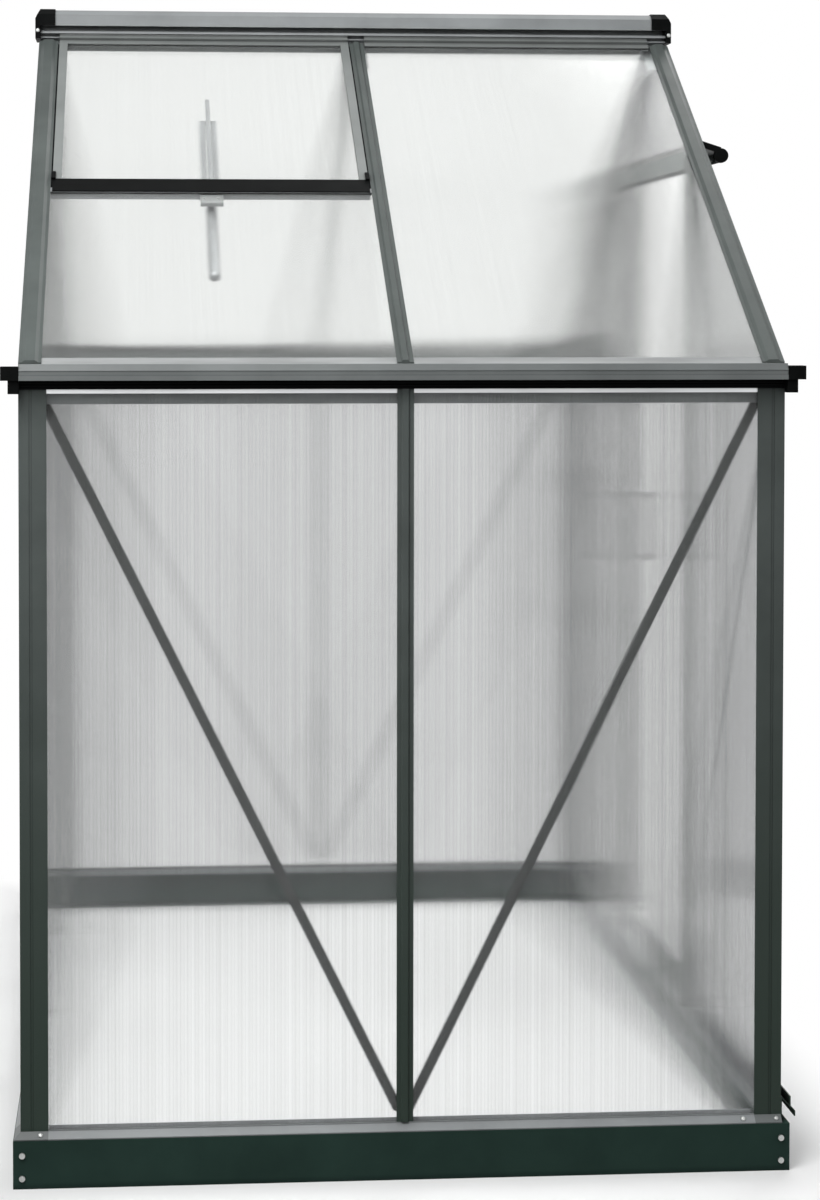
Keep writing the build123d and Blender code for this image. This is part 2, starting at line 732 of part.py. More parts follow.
def roof_sheets():
    eave_edge = -EAVE_OVERHANG / cos(SLOPE)
    ridge_edge = HINGE_RISE - NECK_LENGTH - HOOK_WEB - SHEET_EDGE
    with BuildPart() as front_right:
        roof_sheet(FRONT_ROOF, 1, eave_edge, ridge_edge)
    save(front_right, "roof_sheet_front_right")
    with BuildPart() as below_vent:
        roof_sheet(FRONT_ROOF, -1, eave_edge, VENT_LOW - CROSS_GAP - CROSS_WEB - SHEET_EDGE)
    save(below_vent, "roof_sheet_below_vent")
    with BuildPart() as back:
        roof_sheet(BACK_ROOF, -1, eave_edge, ridge_edge)
        roof_sheet(BACK_ROOF, 1, eave_edge, ridge_edge)
    save(back, "roof_sheets_back")


def wall_sheets():
    web = BAR_WEB / 2 + SHEET_EDGE
    corner = HALF_LENGTH - POST_TUBE - SHEET_EDGE
    foot = BASE_HEIGHT + SKIN + FIT
    head = seat_height(SKIN) - SKIN / cos(SLOPE) - SHEET_EDGE
    with BuildPart() as sheets:
        for wall in (FRONT, BACK):
            for side in (-1, 1):
                with BuildSketch(wall.flat(SHEET_BOTTOM)):
                    patch(side * web, side * corner, foot, head)
                extrude(amount=SHEET)
    save(sheets, "eave_wall_sheets")


def gable_sheet(wall, low, high, foot):
    """A gable sheet between two uprights, cut to the slope under the verge rafters."""
    under = -BAR_DEPTH - SKIN - 2 * FIT
    outline = [(low, foot), (high, foot), (high, roof_height(high, under))]
    if low < 0 < high:
        outline.append((0, roof_height(0, under)))
    outline.append((low, roof_height(low, under)))
    with BuildSketch(wall.flat(SHEET_BOTTOM)) as sheet:
        Polygon(*outline)
    extrude(sheet.sketch, amount=SHEET)


def gable_sheets():
    web = BAR_WEB / 2 + SHEET_EDGE
    corner = HALF_DEPTH - POST_TUBE - SHEET_EDGE
    foot = BASE_HEIGHT + SKIN + FIT
    with BuildPart() as left:
        gable_sheet(LEFT, -corner, -HALF_BAY - web, foot)
        gable_sheet(LEFT, web - HALF_BAY, HALF_BAY - web, foot)
        gable_sheet(LEFT, HALF_BAY + web, corner, foot)
    save(left, "left_gable_sheets")
    with BuildPart() as right:
        gable_sheet(RIGHT, -corner, -HALF_BAY - web, foot)
        gable_sheet(RIGHT, HALF_BAY + web, corner, foot)
    save(right, "right_gable_sheets")
    with BuildPart() as over_door:
        gable_sheet(RIGHT, web - HALF_BAY, HALF_BAY - web, HEAD_LOW + HEAD_RISE / 2 + SKIN + FIT)
    save(over_door, "over_door_sheet")


# Braces
def brace(wall, foot, top):
    """A flat brace against the heels of the bars, from one point of the wall to another."""
    along = top[0] - foot[0]
    rise = top[1] - foot[1]
    span = Vector(along, rise, 0)
    turn = Vector(1, 0, 0).get_signed_angle(span, Vector(0, 0, 1))
    with BuildSketch(wall.flat(BAR_DEPTH + BRACE_THICK)) as strap:
        with Locations(((top[0] + foot[0]) / 2, (top[1] + foot[1]) / 2)):
            SlotCenterToCenter(span.length, BRACE_WIDE, rotation=turn)
    extrude(strap.sketch, amount=BRACE_THICK)


def braces():
    with BuildPart() as eave_braces:
        for wall in (FRONT, BACK):
            for side in (-1, 1):
                top = (side * (HALF_LENGTH - POST_TUBE + BRACE_LAP), BRACE_TOP)
                brace(wall, (side * BRACE_SPREAD, BRACE_FOOT), top)
    save(eave_braces, "eave_wall_braces")
    with BuildPart() as gable_braces:
        for wall in (LEFT, RIGHT):
            for side in (-1, 1):
                top = (side * (HALF_DEPTH - POST_TUBE + BRACE_LAP), GABLE_BRACE_TOP)
                brace(wall, (side * HALF_BAY, BRACE_FOOT), top)
    save(gable_braces, "gable_braces")


# Roof vent
def vent_rails():
    low, high = bay_edges(-1)
    top_rail_end = HINGE_RISE - HOOK_END
    with BuildPart() as top_rail:
        hook_rail(FRONT_ROOF, low, high)
    save(top_rail, "vent_top_rail")
    with BuildPart() as side_rails:
        for edge, inner in ((low, low + VENT_RAIL), (high, high - VENT_RAIL)):
            with BuildSketch(FRONT_ROOF.rafter(0, VENT_LOW + VENT_FOOT)):
                patch(edge, inner, -VENT_OVER, VENT_UNDER)
                sheet_slot(inner, inner + (edge - inner) * VENT_SLOT / VENT_RAIL)
            extrude(amount=top_rail_end - VENT_LOW - VENT_FOOT)
    save(side_rails, "vent_side_rails")
    with BuildPart() as bottom_rail:
        with BuildSketch(FRONT_ROOF.section(low)):
            patch(VENT_LOW, VENT_LOW + VENT_FOOT, -VENT_UNDER, VENT_OVER)
            patch(VENT_LOW - VENT_LIP, VENT_LOW, FIT, VENT_OVER)
            slot_low = VENT_LOW + VENT_FOOT_WALL
            patch(slot_low, VENT_LOW + VENT_FOOT, -SHEET_BOTTOM - FIT, -SKIN, Mode.SUBTRACT)
        extrude(amount=high - low)
    save(bottom_rail, "vent_bottom_rail")
    with BuildPart() as sheet:
        with BuildSketch(FRONT_ROOF.face(-SHEET_BOTTOM)):
            sheet_low = VENT_LOW + VENT_FOOT_WALL + SHEET_EDGE
            sheet_high = HINGE_RISE - NECK_LENGTH - HOOK_WEB - SHEET_EDGE
            side_gap = VENT_RAIL - VENT_BITE
            patch(low + side_gap, high - side_gap, sheet_low, sheet_high)
        extrude(amount=SHEET)
    save(sheet, "vent_sheet")


def vent_cross_bar():
    low = EDGE_FACE - HALF_LENGTH
    high = -BAR_FACE / 2
    web_high = VENT_LOW - CROSS_GAP
    web_low = web_high - CROSS_WEB
    channel_low = web_low - CROSS_CHANNEL
    channel_bottom = -SHEET_BOTTOM - FIT - SKIN
    ledge_top = -VENT_UNDER - FIT
    with BuildPart() as bar:
        with BuildSketch(FRONT_ROOF.section(low)):
            patch(web_low, web_high, -BAR_DEPTH, 0)
            patch(channel_low, web_low, -SKIN, 0)
            patch(channel_low, web_low, channel_bottom, channel_bottom + SKIN)
            patch(web_high, web_high + CROSS_LEDGE, ledge_top - SKIN, ledge_top)
            patch(web_high, web_high + CROSS_LEDGE, -BAR_DEPTH, SKIN - BAR_DEPTH)
        extrude(amount=high - low)
    save(bar, "vent_cross_bar")


# Vent stay
STAY_X = sum(bay_edges(-1)) / 2
STAY_PIVOT_RISE = VENT_LOW + STAY_PIVOT_UP


def vent_stay():
    web_low = VENT_LOW - CROSS_GAP - CROSS_WEB
    plate_high = VENT_LOW - CROSS_GAP + CROSS_LEDGE
    plate_bottom = -BAR_DEPTH - STAY_PLATE_THICK
    lug_bottom = -STAY_PIVOT_DEPTH - STAY_BODY_R
    lug_high = STAY_PIVOT_RISE + STAY_BODY_R
    with BuildPart() as bracket:
        with BuildSketch(FRONT_ROOF.section(STAY_X - STAY_PLATE / 2)):
            patch(web_low, plate_high, plate_bottom, -BAR_DEPTH)
        extrude(amount=STAY_PLATE)
        with BuildSketch(FRONT_ROOF.section(STAY_X - STAY_LUG / 2)):
            patch(web_low, lug_high, lug_bottom, plate_bottom)
        extrude(amount=STAY_LUG)
        with BuildSketch(FRONT_ROOF.section(STAY_X - STAY_PIN_REACH)):
            with Locations((STAY_PIVOT_RISE, -STAY_PIVOT_DEPTH)):
                Circle(STAY_PIN_R)
        extrude(amount=2 * STAY_PIN_REACH)
    save(bracket, "vent_stay_bracket")

    with BuildPart() as cylinder:
        with BuildSketch(FRONT_ROOF.rafter(0, web_low)):
            with Locations((STAY_X, STAY_PIVOT_DEPTH)):
                Circle(STAY_NECK_R)
        extrude(amount=-STAY_NECK)
        with BuildSketch(FRONT_ROOF.rafter(0, web_low - STAY_NECK)):
            with Locations((STAY_X, STAY_PIVOT_DEPTH)):
                Circle(STAY_BODY_R)
        extrude(amount=-STAY_BODY_LENGTH)
        ends = cylinder.edges().filter_by(GeomType.CIRCLE).sort_by(Axis.Z)
        chamfer(ends[0], STAY_BODY_BEVEL)
    save(cylinder, "vent_stay_cylinder")

    tip_rise = STAY_PIVOT_RISE + STAY_ARM
    inner = STAY_LUG / 2 + STAY_ARM_PLAY
    outer = inner + STAY_ARM_THICK
    span = Vector(STAY_ARM, STAY_PIVOT_DEPTH - STAY_TIP_DEPTH, 0)
    turn = Vector(1, 0, 0).get_signed_angle(span, Vector(0, 0, 1))
    with BuildPart() as arms:
        for start in (inner, -outer):
            with BuildSketch(FRONT_ROOF.section(STAY_X + start)):
                middle_depth = (STAY_PIVOT_DEPTH + STAY_TIP_DEPTH) / 2
                with Locations((STAY_PIVOT_RISE + STAY_ARM / 2, -middle_depth)):
                    SlotCenterToCenter(span.length, STAY_ARM_WIDE, rotation=turn)
                with Locations((STAY_PIVOT_RISE, -STAY_PIVOT_DEPTH)):
                    Circle(STAY_PIN_R + STAY_PIN_PLAY, mode=Mode.SUBTRACT)
            extrude(amount=STAY_ARM_THICK)
        with BuildSketch(FRONT_ROOF.section(STAY_X - outer)):
            with Locations((tip_rise, -STAY_TIP_DEPTH)):
                Circle(STAY_TIP_R)
        extrude(amount=2 * outer)
    save(arms, "vent_stay_arms")

    rail_low = VENT_LOW + VENT_FOOT
    with BuildPart() as rail:
        with BuildSketch(FRONT_ROOF.rafter(STAY_X, VENT_LOW + CROSS_LEDGE)):
            rail_top = SHEET_BOTTOM + FIT
            patch(-STAY_RAIL_WIDE / 2, STAY_RAIL_WIDE / 2, rail_top, rail_top + STAY_RAIL_DEEP)
        extrude(amount=STAY_RAIL_LENGTH)
        with BuildSketch(FRONT_ROOF.rafter(STAY_X, rail_low)):
            patch(-STAY_RAIL_WIDE / 2, STAY_RAIL_WIDE / 2, SHEET_BOTTOM + FIT, VENT_UNDER)
        extrude(amount=VENT_LOW + CROSS_LEDGE - rail_low)
    save(rail, "vent_stay_rail")


# Doorway
def door_head_rail():
    half = HALF_BAY - BAR_FACE / 2
    with BuildPart() as head:
        with BuildSketch(RIGHT.rail(-half)):
            patch(0, SKIN, HEAD_LOW, HEAD_LOW + HEAD_RISE)
            patch(0, BAR_DEPTH, HEAD_LOW + HEAD_RISE / 2, HEAD_LOW + HEAD_RISE / 2 + SKIN)
            patch(BAR_DEPTH - SKIN, BAR_DEPTH, HEAD_LOW, HEAD_LOW + HEAD_RISE)
        extrude(amount=2 * half)
    save(head, "door_head_rail")


def upper_door_track():
    ledge_top = TRACK_LEDGE_Z + SKIN
    hood_edge = TRACK_TOP - TRACK_FALL
    with BuildPart() as track:
        with BuildSketch(RIGHT.rail(TRACK_START)):
            patch(-TRACK_BACK, 0, TRACK_LOW, TRACK_TOP)
            Polygon(
                (0, TRACK_TOP - TRACK_HOOD),
                (0, TRACK_TOP),
                (-TRACK_OUT, hood_edge),
                (-TRACK_OUT, hood_edge - TRACK_HOOD),
            )
            patch(-TRACK_OUT, TRACK_HOOD - TRACK_OUT, hood_edge - TRACK_APRON, hood_edge)
            patch(-TRACK_LEDGE, 0, TRACK_LEDGE_Z, ledge_top)
            bead_out = -BEAD_FROM_WALL - BEAD_WIDE / 2
            patch(bead_out, bead_out + BEAD_WIDE, ledge_top, ledge_top + BEAD_RISE)
        extrude(amount=TRACK_END - TRACK_START)
    save(track, "upper_door_track")
    bulb_out = TRACK_BULB_R - TRACK_OUT - TRACK_CAP_OVER
    neck_end = TRACK_TOP + bulb_out * TRACK_FALL / TRACK_OUT
    with BuildPart() as caps:
        for place, side in ((TRACK_START, -1), (TRACK_END, 1)):
            with BuildSketch(RIGHT.rail(place)):
                with Locations((bulb_out, hood_edge - TRACK_APRON / 2)):
                    Circle(TRACK_BULB_R)
                Polygon(
                    (0, TRACK_TOP - TRACK_NECK),
                    (0, TRACK_TOP + TRACK_CAP_OVER),
                    (bulb_out, neck_end + TRACK_CAP_OVER),
                    (bulb_out, neck_end - TRACK_NECK),
                )
            extrude(amount=side * TRACK_CAP)
    save(caps, "track_end_caps")


def lower_door_track():
    lip = LOWER_TRACK_TOP - LOWER_TRACK_OUT
    fin_foot = LOWER_TRACK_TOP - FIN_FROM_WALL - SKIN
    with BuildPart() as track:
        with BuildSketch(RIGHT.rail(-HALF_DEPTH)):
            patch(-SKIN, 0, BASE_HEIGHT, LOWER_TRACK_TOP)
            Polygon(
                (0, LOWER_TRACK_TOP - SKIN),
                (0, LOWER_TRACK_TOP),
                (-LOWER_TRACK_OUT, lip),
                (-LOWER_TRACK_OUT, lip - SKIN),
            )
            patch(-LOWER_TRACK_OUT, SKIN - LOWER_TRACK_OUT, lip - LOWER_TRACK_SKIRT, lip)
            patch(-FIN_FROM_WALL, SKIN - FIN_FROM_WALL, fin_foot, LOWER_TRACK_TOP)
        extrude(amount=DEPTH)
    save(track, "lower_door_track")


# Sliding door, stored open over the rear bay
DOOR_NEAR = DOOR_TRAVEL - DOOR_WIDTH / 2
DOOR_FAR = DOOR_TRAVEL + DOOR_WIDTH / 2
SLOT_OUT = -DOOR_MIDDLE - SHEET / 2 - FIT
SLOT_IN = -DOOR_MIDDLE + SHEET / 2 + FIT


def door_stiles():
    with BuildPart() as stiles:
        for outer, inward in ((DOOR_NEAR, 1), (DOOR_FAR, -1)):
            inner = outer + inward * STILE
            bite = inner - inward * DOOR_BITE
            hollow = outer + inward * DOOR_WALL
            hollow_end = bite - inward * DOOR_WALL
            with BuildSketch(RIGHT.upright(0, DOOR_LOW)):
                patch(outer, inner, -DOOR_FACE, -DOOR_GAP)
                patch(hollow, hollow_end, DOOR_WALL - DOOR_FACE, -DOOR_GAP - DOOR_WALL, Mode.SUBTRACT)
                patch(bite, inner, SLOT_OUT, SLOT_IN, Mode.SUBTRACT)
            extrude(amount=DOOR_HIGH - DOOR_LOW)
    save(stiles, "door_stiles")


def door_rail(low, high, slot_below, slot_above):
    """A rail between the stiles, with a slot for a sheet below it, above it or both."""
    with BuildSketch(RIGHT.rail(DOOR_NEAR + STILE)) as profile:
        patch(-DOOR_FACE, -DOOR_GAP, low, high)
        if slot_below:
            patch(SLOT_OUT, SLOT_IN, low, low + DOOR_BITE, Mode.SUBTRACT)
        if slot_above:
            patch(SLOT_OUT, SLOT_IN, high - DOOR_BITE, high, Mode.SUBTRACT)
        chamber = (low + DOOR_BITE + DOOR_WALL, high - DOOR_BITE - DOOR_WALL)
        patch(DOOR_WALL - DOOR_FACE, -DOOR_GAP - DOOR_WALL, *chamber, Mode.SUBTRACT)
    extrude(profile.sketch, amount=DOOR_WIDTH - 2 * STILE)


def door_rails():
    with BuildPart() as top_rail:
        door_rail(DOOR_HIGH - DOOR_RAIL, DOOR_HIGH, True, False)
    save(top_rail, "door_top_rail")
    with BuildPart() as bottom_rail:
        door_rail(DOOR_LOW, DOOR_LOW + DOOR_RAIL, False, True)
    save(bottom_rail, "door_bottom_rail")
    with BuildPart() as mid_rails:
        for height in MID_RAIL_HEIGHTS:
            door_rail(height - MID_RAIL / 2, height + MID_RAIL / 2, True, True)
    save(mid_rails, "door_mid_rails")


def door_sheets():
    bite = DOOR_BITE - SHEET_EDGE
    near = DOOR_NEAR + STILE - bite
    far = DOOR_FAR - STILE + bite
    edges = [DOOR_LOW + DOOR_RAIL]
    for height in MID_RAIL_HEIGHTS:
        edges += [height - MID_RAIL / 2, height + MID_RAIL / 2]
    edges.append(DOOR_HIGH - DOOR_RAIL)
    with BuildPart() as sheets:
        for low, high in zip(edges[::2], edges[1::2]):
            with BuildSketch(RIGHT.flat(-DOOR_MIDDLE + SHEET / 2)):
                patch(near, far, low - bite, high + bite)
            extrude(amount=SHEET)
    save(sheets, "door_sheets")


HANGERS = {
    "front": DOOR_NEAR + HANGER_INSET,
    "rear": DOOR_FAR - HANGER_INSET,
}


def door_hangers():
    roller_in = BEAD_FROM_WALL - ROLLER_WIDE / 2
    roller_out = BEAD_FROM_WALL + ROLLER_WIDE / 2
    with BuildPart() as hangers:
        for along in HANGERS.values():
            with BuildSketch(RIGHT.flat(-DOOR_FACE)):
                half = HANGER_WIDE / 2
                patch(along - half, along + half, DOOR_HIGH - HANGER_DROP, AXLE_Z + AXLE_HEAD_R)
            extrude(amount=HANGER_THICK)
            for radius, start, end in (
                (AXLE_R, DOOR_FACE, roller_in),
                (AXLE_HEAD_R, DOOR_FACE, roller_out + ROLLER_PLAY),
                (AXLE_HEAD_R, roller_in - ROLLER_PLAY, roller_in - ROLLER_PLAY - AXLE_HEAD),
                (AXLE_R, roller_in, roller_in - ROLLER_PLAY),
            ):
                with BuildSketch(RIGHT.flat(-start)):
                    with Locations((along, AXLE_Z)):
                        Circle(radius)
                extrude(amount=end - start)
    save(hangers, "door_hangers")


def door_rollers():
    rim = (ROLLER_WIDE - ROLLER_GROOVE) / 2
    start = ROLLER_WIDE / 2 - BEAD_FROM_WALL
    for place, along in HANGERS.items():
        with BuildPart() as roller:
            for radius, offset, width in (
                (ROLLER_RIM_R, 0, rim),
                (ROLLER_R - ROLLER_PLAY, rim, ROLLER_GROOVE),
                (ROLLER_RIM_R, rim + ROLLER_GROOVE, rim),
            ):
                with BuildSketch(RIGHT.flat(start - offset)):
                    with Locations((along, AXLE_Z)):
                        Circle(radius)
                extrude(amount=width)
            with BuildSketch(RIGHT.flat(start)):
                with Locations((along, AXLE_Z)):
                    Circle(AXLE_R + AXLE_PLAY)
            extrude(amount=ROLLER_WIDE, mode=Mode.SUBTRACT)
        save(roller, f"door_roller_{place}")


def door_guides():
    fin_middle = -FIN_FROM_WALL + SKIN / 2
    with BuildPart() as guides:
        for along in HANGERS.values():
            with BuildSketch(RIGHT.rail(along - GUIDE_LENGTH / 2)):
                half = GUIDE_WIDE / 2
                patch(fin_middle - half, fin_middle + half, GUIDE_LOW, DOOR_LOW)
                slot = SKIN / 2 + FIT
                slot_top = DOOR_LOW - GUIDE_ROOF
                patch(fin_middle - slot, fin_middle + slot, GUIDE_LOW, slot_top, Mode.SUBTRACT)
            extrude(amount=GUIDE_LENGTH)
    save(guides, "door_guides")


def door_handle():
    reach = -DOOR_FACE - HANDLE_REACH
    with BuildPart() as handle:
        with BuildSketch(RIGHT.rail(DOOR_NEAR + (STILE - HANDLE_WIDE) / 2)) as outline:
            patch(reach, -DOOR_FACE, HANDLE_HEIGHT, HANDLE_HEIGHT + HANDLE_LENGTH)
            chamfer(outline.vertices().group_by(Axis.X)[-1], HANDLE_BAR)
            inner_low = HANDLE_HEIGHT + 2 * HANDLE_BAR
            inner_high = HANDLE_HEIGHT + HANDLE_LENGTH - 2 * HANDLE_BAR
            patch(reach + HANDLE_BAR, -DOOR_FACE, inner_low, inner_high, Mode.SUBTRACT)
        extrude(amount=HANDLE_WIDE)
    save(handle, "door_handle")


os.makedirs("parts", exist_ok=True)

base_channel("base_front", FRONT, HALF_LENGTH)
base_channel("base_back", BACK, HALF_LENGTH)
base_channel("base_left", LEFT, HALF_DEPTH)
base_channel("base_right", RIGHT, HALF_DEPTH)
base_corner_brackets()
base_screws()

sill("eave_sills", (FRONT, BACK), HALF_LENGTH - POST_FACE)
sill("gable_sills", (LEFT, RIGHT), HALF_DEPTH - POST_FACE)
corner_post("corner_post_front_left", FRONT, -1)
corner_post("corner_post_front_right", FRONT, 1)
corner_post("corner_post_back_right", BACK, -1)
corner_post("corner_post_back_left", BACK, 1)
mid_posts()
left_gable_studs()
door_post("door_post_front", -HALF_BAY, FRONT_ROOF)
door_post("door_post_rear", HALF_BAY, BACK_ROOF)

eave_gutter("eave_gutter_front", FRONT)
eave_gutter("eave_gutter_back", BACK)
gutter_end_caps()
for roof_name, roof in (("front", FRONT_ROOF), ("back", BACK_ROOF)):
    left_end = -HALF_LENGTH if roof is FRONT_ROOF else HALF_LENGTH
    rafter(f"rafter_{roof_name}_left", roof, left_end)
    rafter(f"rafter_{roof_name}_mid", roof, 0)
    rafter(f"rafter_{roof_name}_right", roof, -left_end)
ridge_bar()
ridge_end_caps()
ridge_glazing_rails()

roof_sheets()
wall_sheets()
gable_sheets()
braces()

vent_rails()
vent_cross_bar()
vent_stay()

door_head_rail()
upper_door_track()
lower_door_track()
door_stiles()
door_rails()
door_sheets()
door_hangers()
door_rollers()
door_guides()
door_handle()
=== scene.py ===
import json
from math import cos, pi, radians, sin

import bmesh
import bpy
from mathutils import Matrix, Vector


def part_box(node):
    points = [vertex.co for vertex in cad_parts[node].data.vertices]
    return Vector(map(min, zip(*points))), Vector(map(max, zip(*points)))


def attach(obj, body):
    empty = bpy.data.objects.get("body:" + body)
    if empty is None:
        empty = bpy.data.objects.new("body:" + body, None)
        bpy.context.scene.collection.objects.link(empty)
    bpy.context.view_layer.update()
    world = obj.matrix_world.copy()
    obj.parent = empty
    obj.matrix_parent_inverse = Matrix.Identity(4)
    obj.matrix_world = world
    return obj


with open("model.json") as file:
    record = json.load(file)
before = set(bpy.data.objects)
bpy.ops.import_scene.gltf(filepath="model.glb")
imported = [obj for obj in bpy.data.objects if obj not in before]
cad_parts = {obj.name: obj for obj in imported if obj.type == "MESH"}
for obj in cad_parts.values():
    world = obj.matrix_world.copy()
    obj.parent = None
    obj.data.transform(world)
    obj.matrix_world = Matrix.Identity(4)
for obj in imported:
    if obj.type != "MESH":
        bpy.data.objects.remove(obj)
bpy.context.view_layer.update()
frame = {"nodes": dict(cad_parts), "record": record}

# Metres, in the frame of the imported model: X along the eaves, Y to the back, Z up.

# Camera, for an image of 820 by 1200
CAMERA_PLACE = (-0.457, -4.863, 1.44)
CAMERA_YAW = 3.97
CAMERA_PITCH = -1.6
CAMERA_LENS = 71.3
CAMERA_SHIFT = (0.09, -0.18)

# Studio floor: past a rectangle of these half sizes it fades into white
FADE_HALF = (0.68, 0.97)
FADE_END = 1.28
FADE_LEAST = 0.2
FLOOR_HALF = 30.0
FLOOR_ROUGHNESS = (0.75, 0.9)
BOUNCE_COLOUR = (0.08, 0.08, 0.08, 1.0)

# Sky and lamps: a lamp has a name, a place, a point that it faces, a width and a power in watts
SKY_COLOUR = (0.97, 0.99, 1.0, 1.0)
SKY_STRENGTH = 0.12
WHITE = (1.0, 1.0, 1.0, 1.0)
LAMPS = (
    ("Key", (-1.7, -2.6, 4.7), (0.0, -0.4, 1.2), 2.2, 120.0),
    ("Front", (-0.9, -2.7, 2.7), (-0.1, -0.9, 1.5), 1.6, 36.0),
    ("Back", (1.7, 2.6, 4.7), (0.0, 0.4, 1.2), 2.2, 100.0),
    ("Fill", (4.0, -5.0, 3.0), (0.0, 0.0, 1.0), 5.0, 10.0),
)

# Paint: painted shade darkens it within this reach of a groove or corner, and painted shade darkens it
# towards the ground between these heights
GROOVE_SHADE_REACH = 0.012
GROOVE_SHADE_SAMPLES = 6
SATIN = (0.36, 0.5)
FOOT_SHADE_LOW = 0.1
FOOT_SHADE_HIGH = 1.15

# Twin-wall sheet: a share of its face passes light nearly straight, and the flutes spread the rest
FLUTE_PITCH = 0.006
SHEET_IOR = 1.45
SHEET_ROUGHNESS = 0.04
WALL_SPREAD = 0.5
ROOF_SPREAD = 0.26
STRAIGHT_SHARE = 0.24
STRAIGHT_SLOPE = 0.05
STEP = 0.001
STREAK_SCALE = 110.0
WALL_STREAKS = 0.075
ROOF_STREAKS = 0.02
HAZE = 0.045
SHINE = 0.4
MILK_COLOUR = (0.9, 0.9, 0.92, 1.0)
WAVE_PERIOD = 0.31416


# Materials
class Shader:
    """A material's node tree with short ways to add and join nodes."""

    def __init__(self, name):
        self.material = bpy.data.materials.new(name)
        self.material.use_nodes = True
        self.tree = self.material.node_tree
        self.surface = self.tree.nodes["Principled BSDF"]
        self.output = self.tree.nodes["Material Output"]
        self.place = self.add("ShaderNodeTexCoord").outputs["Object"]

    def add(self, kind, **settings):
        node = self.tree.nodes.new(kind)
        for key, value in settings.items():
            setattr(node, key, value)
        return node

    def join(self, source, target):
        self.tree.links.new(source, target)

    def set(self, **values):
        for key, value in values.items():
            self.surface.inputs[key.replace("_", " ")].default_value = value

    def stretched(self, stretch):
        mapping = self.add("ShaderNodeMapping")
        mapping.inputs["Scale"].default_value = stretch
        self.join(self.place, mapping.inputs["Vector"])
        return mapping.outputs["Vector"]

    def noise(self, scale, detail=3.0, stretch=None):
        node = self.add("ShaderNodeTexNoise")
        node.inputs["Scale"].default_value = scale
        node.inputs["Detail"].default_value = detail
        self.join(self.stretched(stretch) if stretch else self.place, node.inputs["Vector"])
        return node.outputs["Fac"]

    def ramp(self, source, stops, target):
        node = self.add("ShaderNodeValToRGB")
        while len(node.color_ramp.elements) < len(stops):
            node.color_ramp.elements.new(0.5)
        for element, (position, colour) in zip(node.color_ramp.elements, stops):
            element.position = position
            element.color = (*colour, 1.0)
        self.join(source, node.inputs["Fac"])
        self.join(node.outputs["Color"], target)

    def levels(self, source, limits, target):
        node = self.add("ShaderNodeMapRange")
        node.inputs["To Min"].default_value = limits[0]
        node.inputs["To Max"].default_value = limits[1]
        self.join(source, node.inputs["Value"])
        self.join(node.outputs["Result"], target)

    def shade_towards_ground(self, foot, target):
        """Mixes in a darker colour near the ground as painted shade, and gives back the socket for the
        colour above.
        """
        parts = self.add("ShaderNodeSeparateXYZ")
        self.join(self.place, parts.inputs["Vector"])
        height = self.add("ShaderNodeMapRange", interpolation_type="SMOOTHSTEP")
        height.inputs["From Min"].default_value = FOOT_SHADE_LOW
        height.inputs["From Max"].default_value = FOOT_SHADE_HIGH
        self.join(parts.outputs["Z"], height.inputs["Value"])
        mix = self.add("ShaderNodeMix", data_type="RGBA")
        mix.inputs["A"].default_value = (*foot, 1.0)
        self.join(height.outputs["Result"], mix.inputs["Factor"])
        self.join(mix.outputs["Result"], target)
        return mix.inputs["B"]

    def bump(self, source, depth):
        node = self.add("ShaderNodeBump")
        node.inputs["Distance"].default_value = depth
        self.join(source, node.inputs["Height"])
        self.join(node.outputs["Normal"], self.surface.inputs["Normal"])


def grey(level):
    return (level, level, level)


def tinted(colour, factor):
    return tuple(channel * factor for channel in colour)


def powder_coat(name, colour, sheen, rough=SATIN, foot=None):
    """Satin paint, with painted shade in the bars' grooves and corners, and painted shade darkening it
    towards their feet.
    """
    shader = Shader(name)
    shader.set(Specular_IOR_Level=sheen)
    stops = ((0.3, tinted(colour, 0.86)), (0.7, tinted(colour, 1.16)))
    # Ambient occlusion darkens the colour in grooves and corners: painted shade.
    groove_shade = shader.add("ShaderNodeAmbientOcclusion", samples=GROOVE_SHADE_SAMPLES)
    groove_shade.inputs["Distance"].default_value = GROOVE_SHADE_REACH
    # Towards the ground the paint darkens to the foot colour: painted shade.
    paint = shader.shade_towards_ground(foot, groove_shade.inputs["Color"]) if foot else groove_shade.inputs["Color"]
    shader.ramp(shader.noise(9.0, 6.0), stops, paint)
    shader.join(groove_shade.outputs["Color"], shader.surface.inputs["Base Color"])
    shader.levels(shader.noise(40.0), rough, shader.surface.inputs["Roughness"])
    shader.bump(shader.noise(900.0, 2.0), 0.00004)
    return shader.material


def moulded_plastic(name, colour, sheen, rough):
    """Moulded plastic or rubber with a fine grain."""
    shader = Shader(name)
    shader.set(Specular_IOR_Level=sheen)
    stops = ((0.35, tinted(colour, 0.8)), (0.65, tinted(colour, 1.25)))
    shader.ramp(shader.noise(30.0, 4.0), stops, shader.surface.inputs["Base Color"])
    shader.levels(shader.noise(60.0), rough, shader.surface.inputs["Roughness"])
    shader.bump(shader.noise(1800.0, 2.0), 0.00005)
    return shader.material


def bare_metal(name, colour, rough, stretch):
    """Unpainted metal, its fine lines drawn out by the stretch."""
    shader = Shader(name)
    shader.set(Metallic=1.0)
    stops = ((0.3, tinted(colour, 0.82)), (0.7, tinted(colour, 1.1)))
    shader.ramp(shader.noise(60.0, 5.0, stretch), stops, shader.surface.inputs["Base Color"])
    shader.levels(shader.noise(90.0, 3.0, stretch), rough, shader.surface.inputs["Roughness"])
    shader.bump(shader.noise(700.0, 2.0, stretch), 0.00002)
    return shader.material


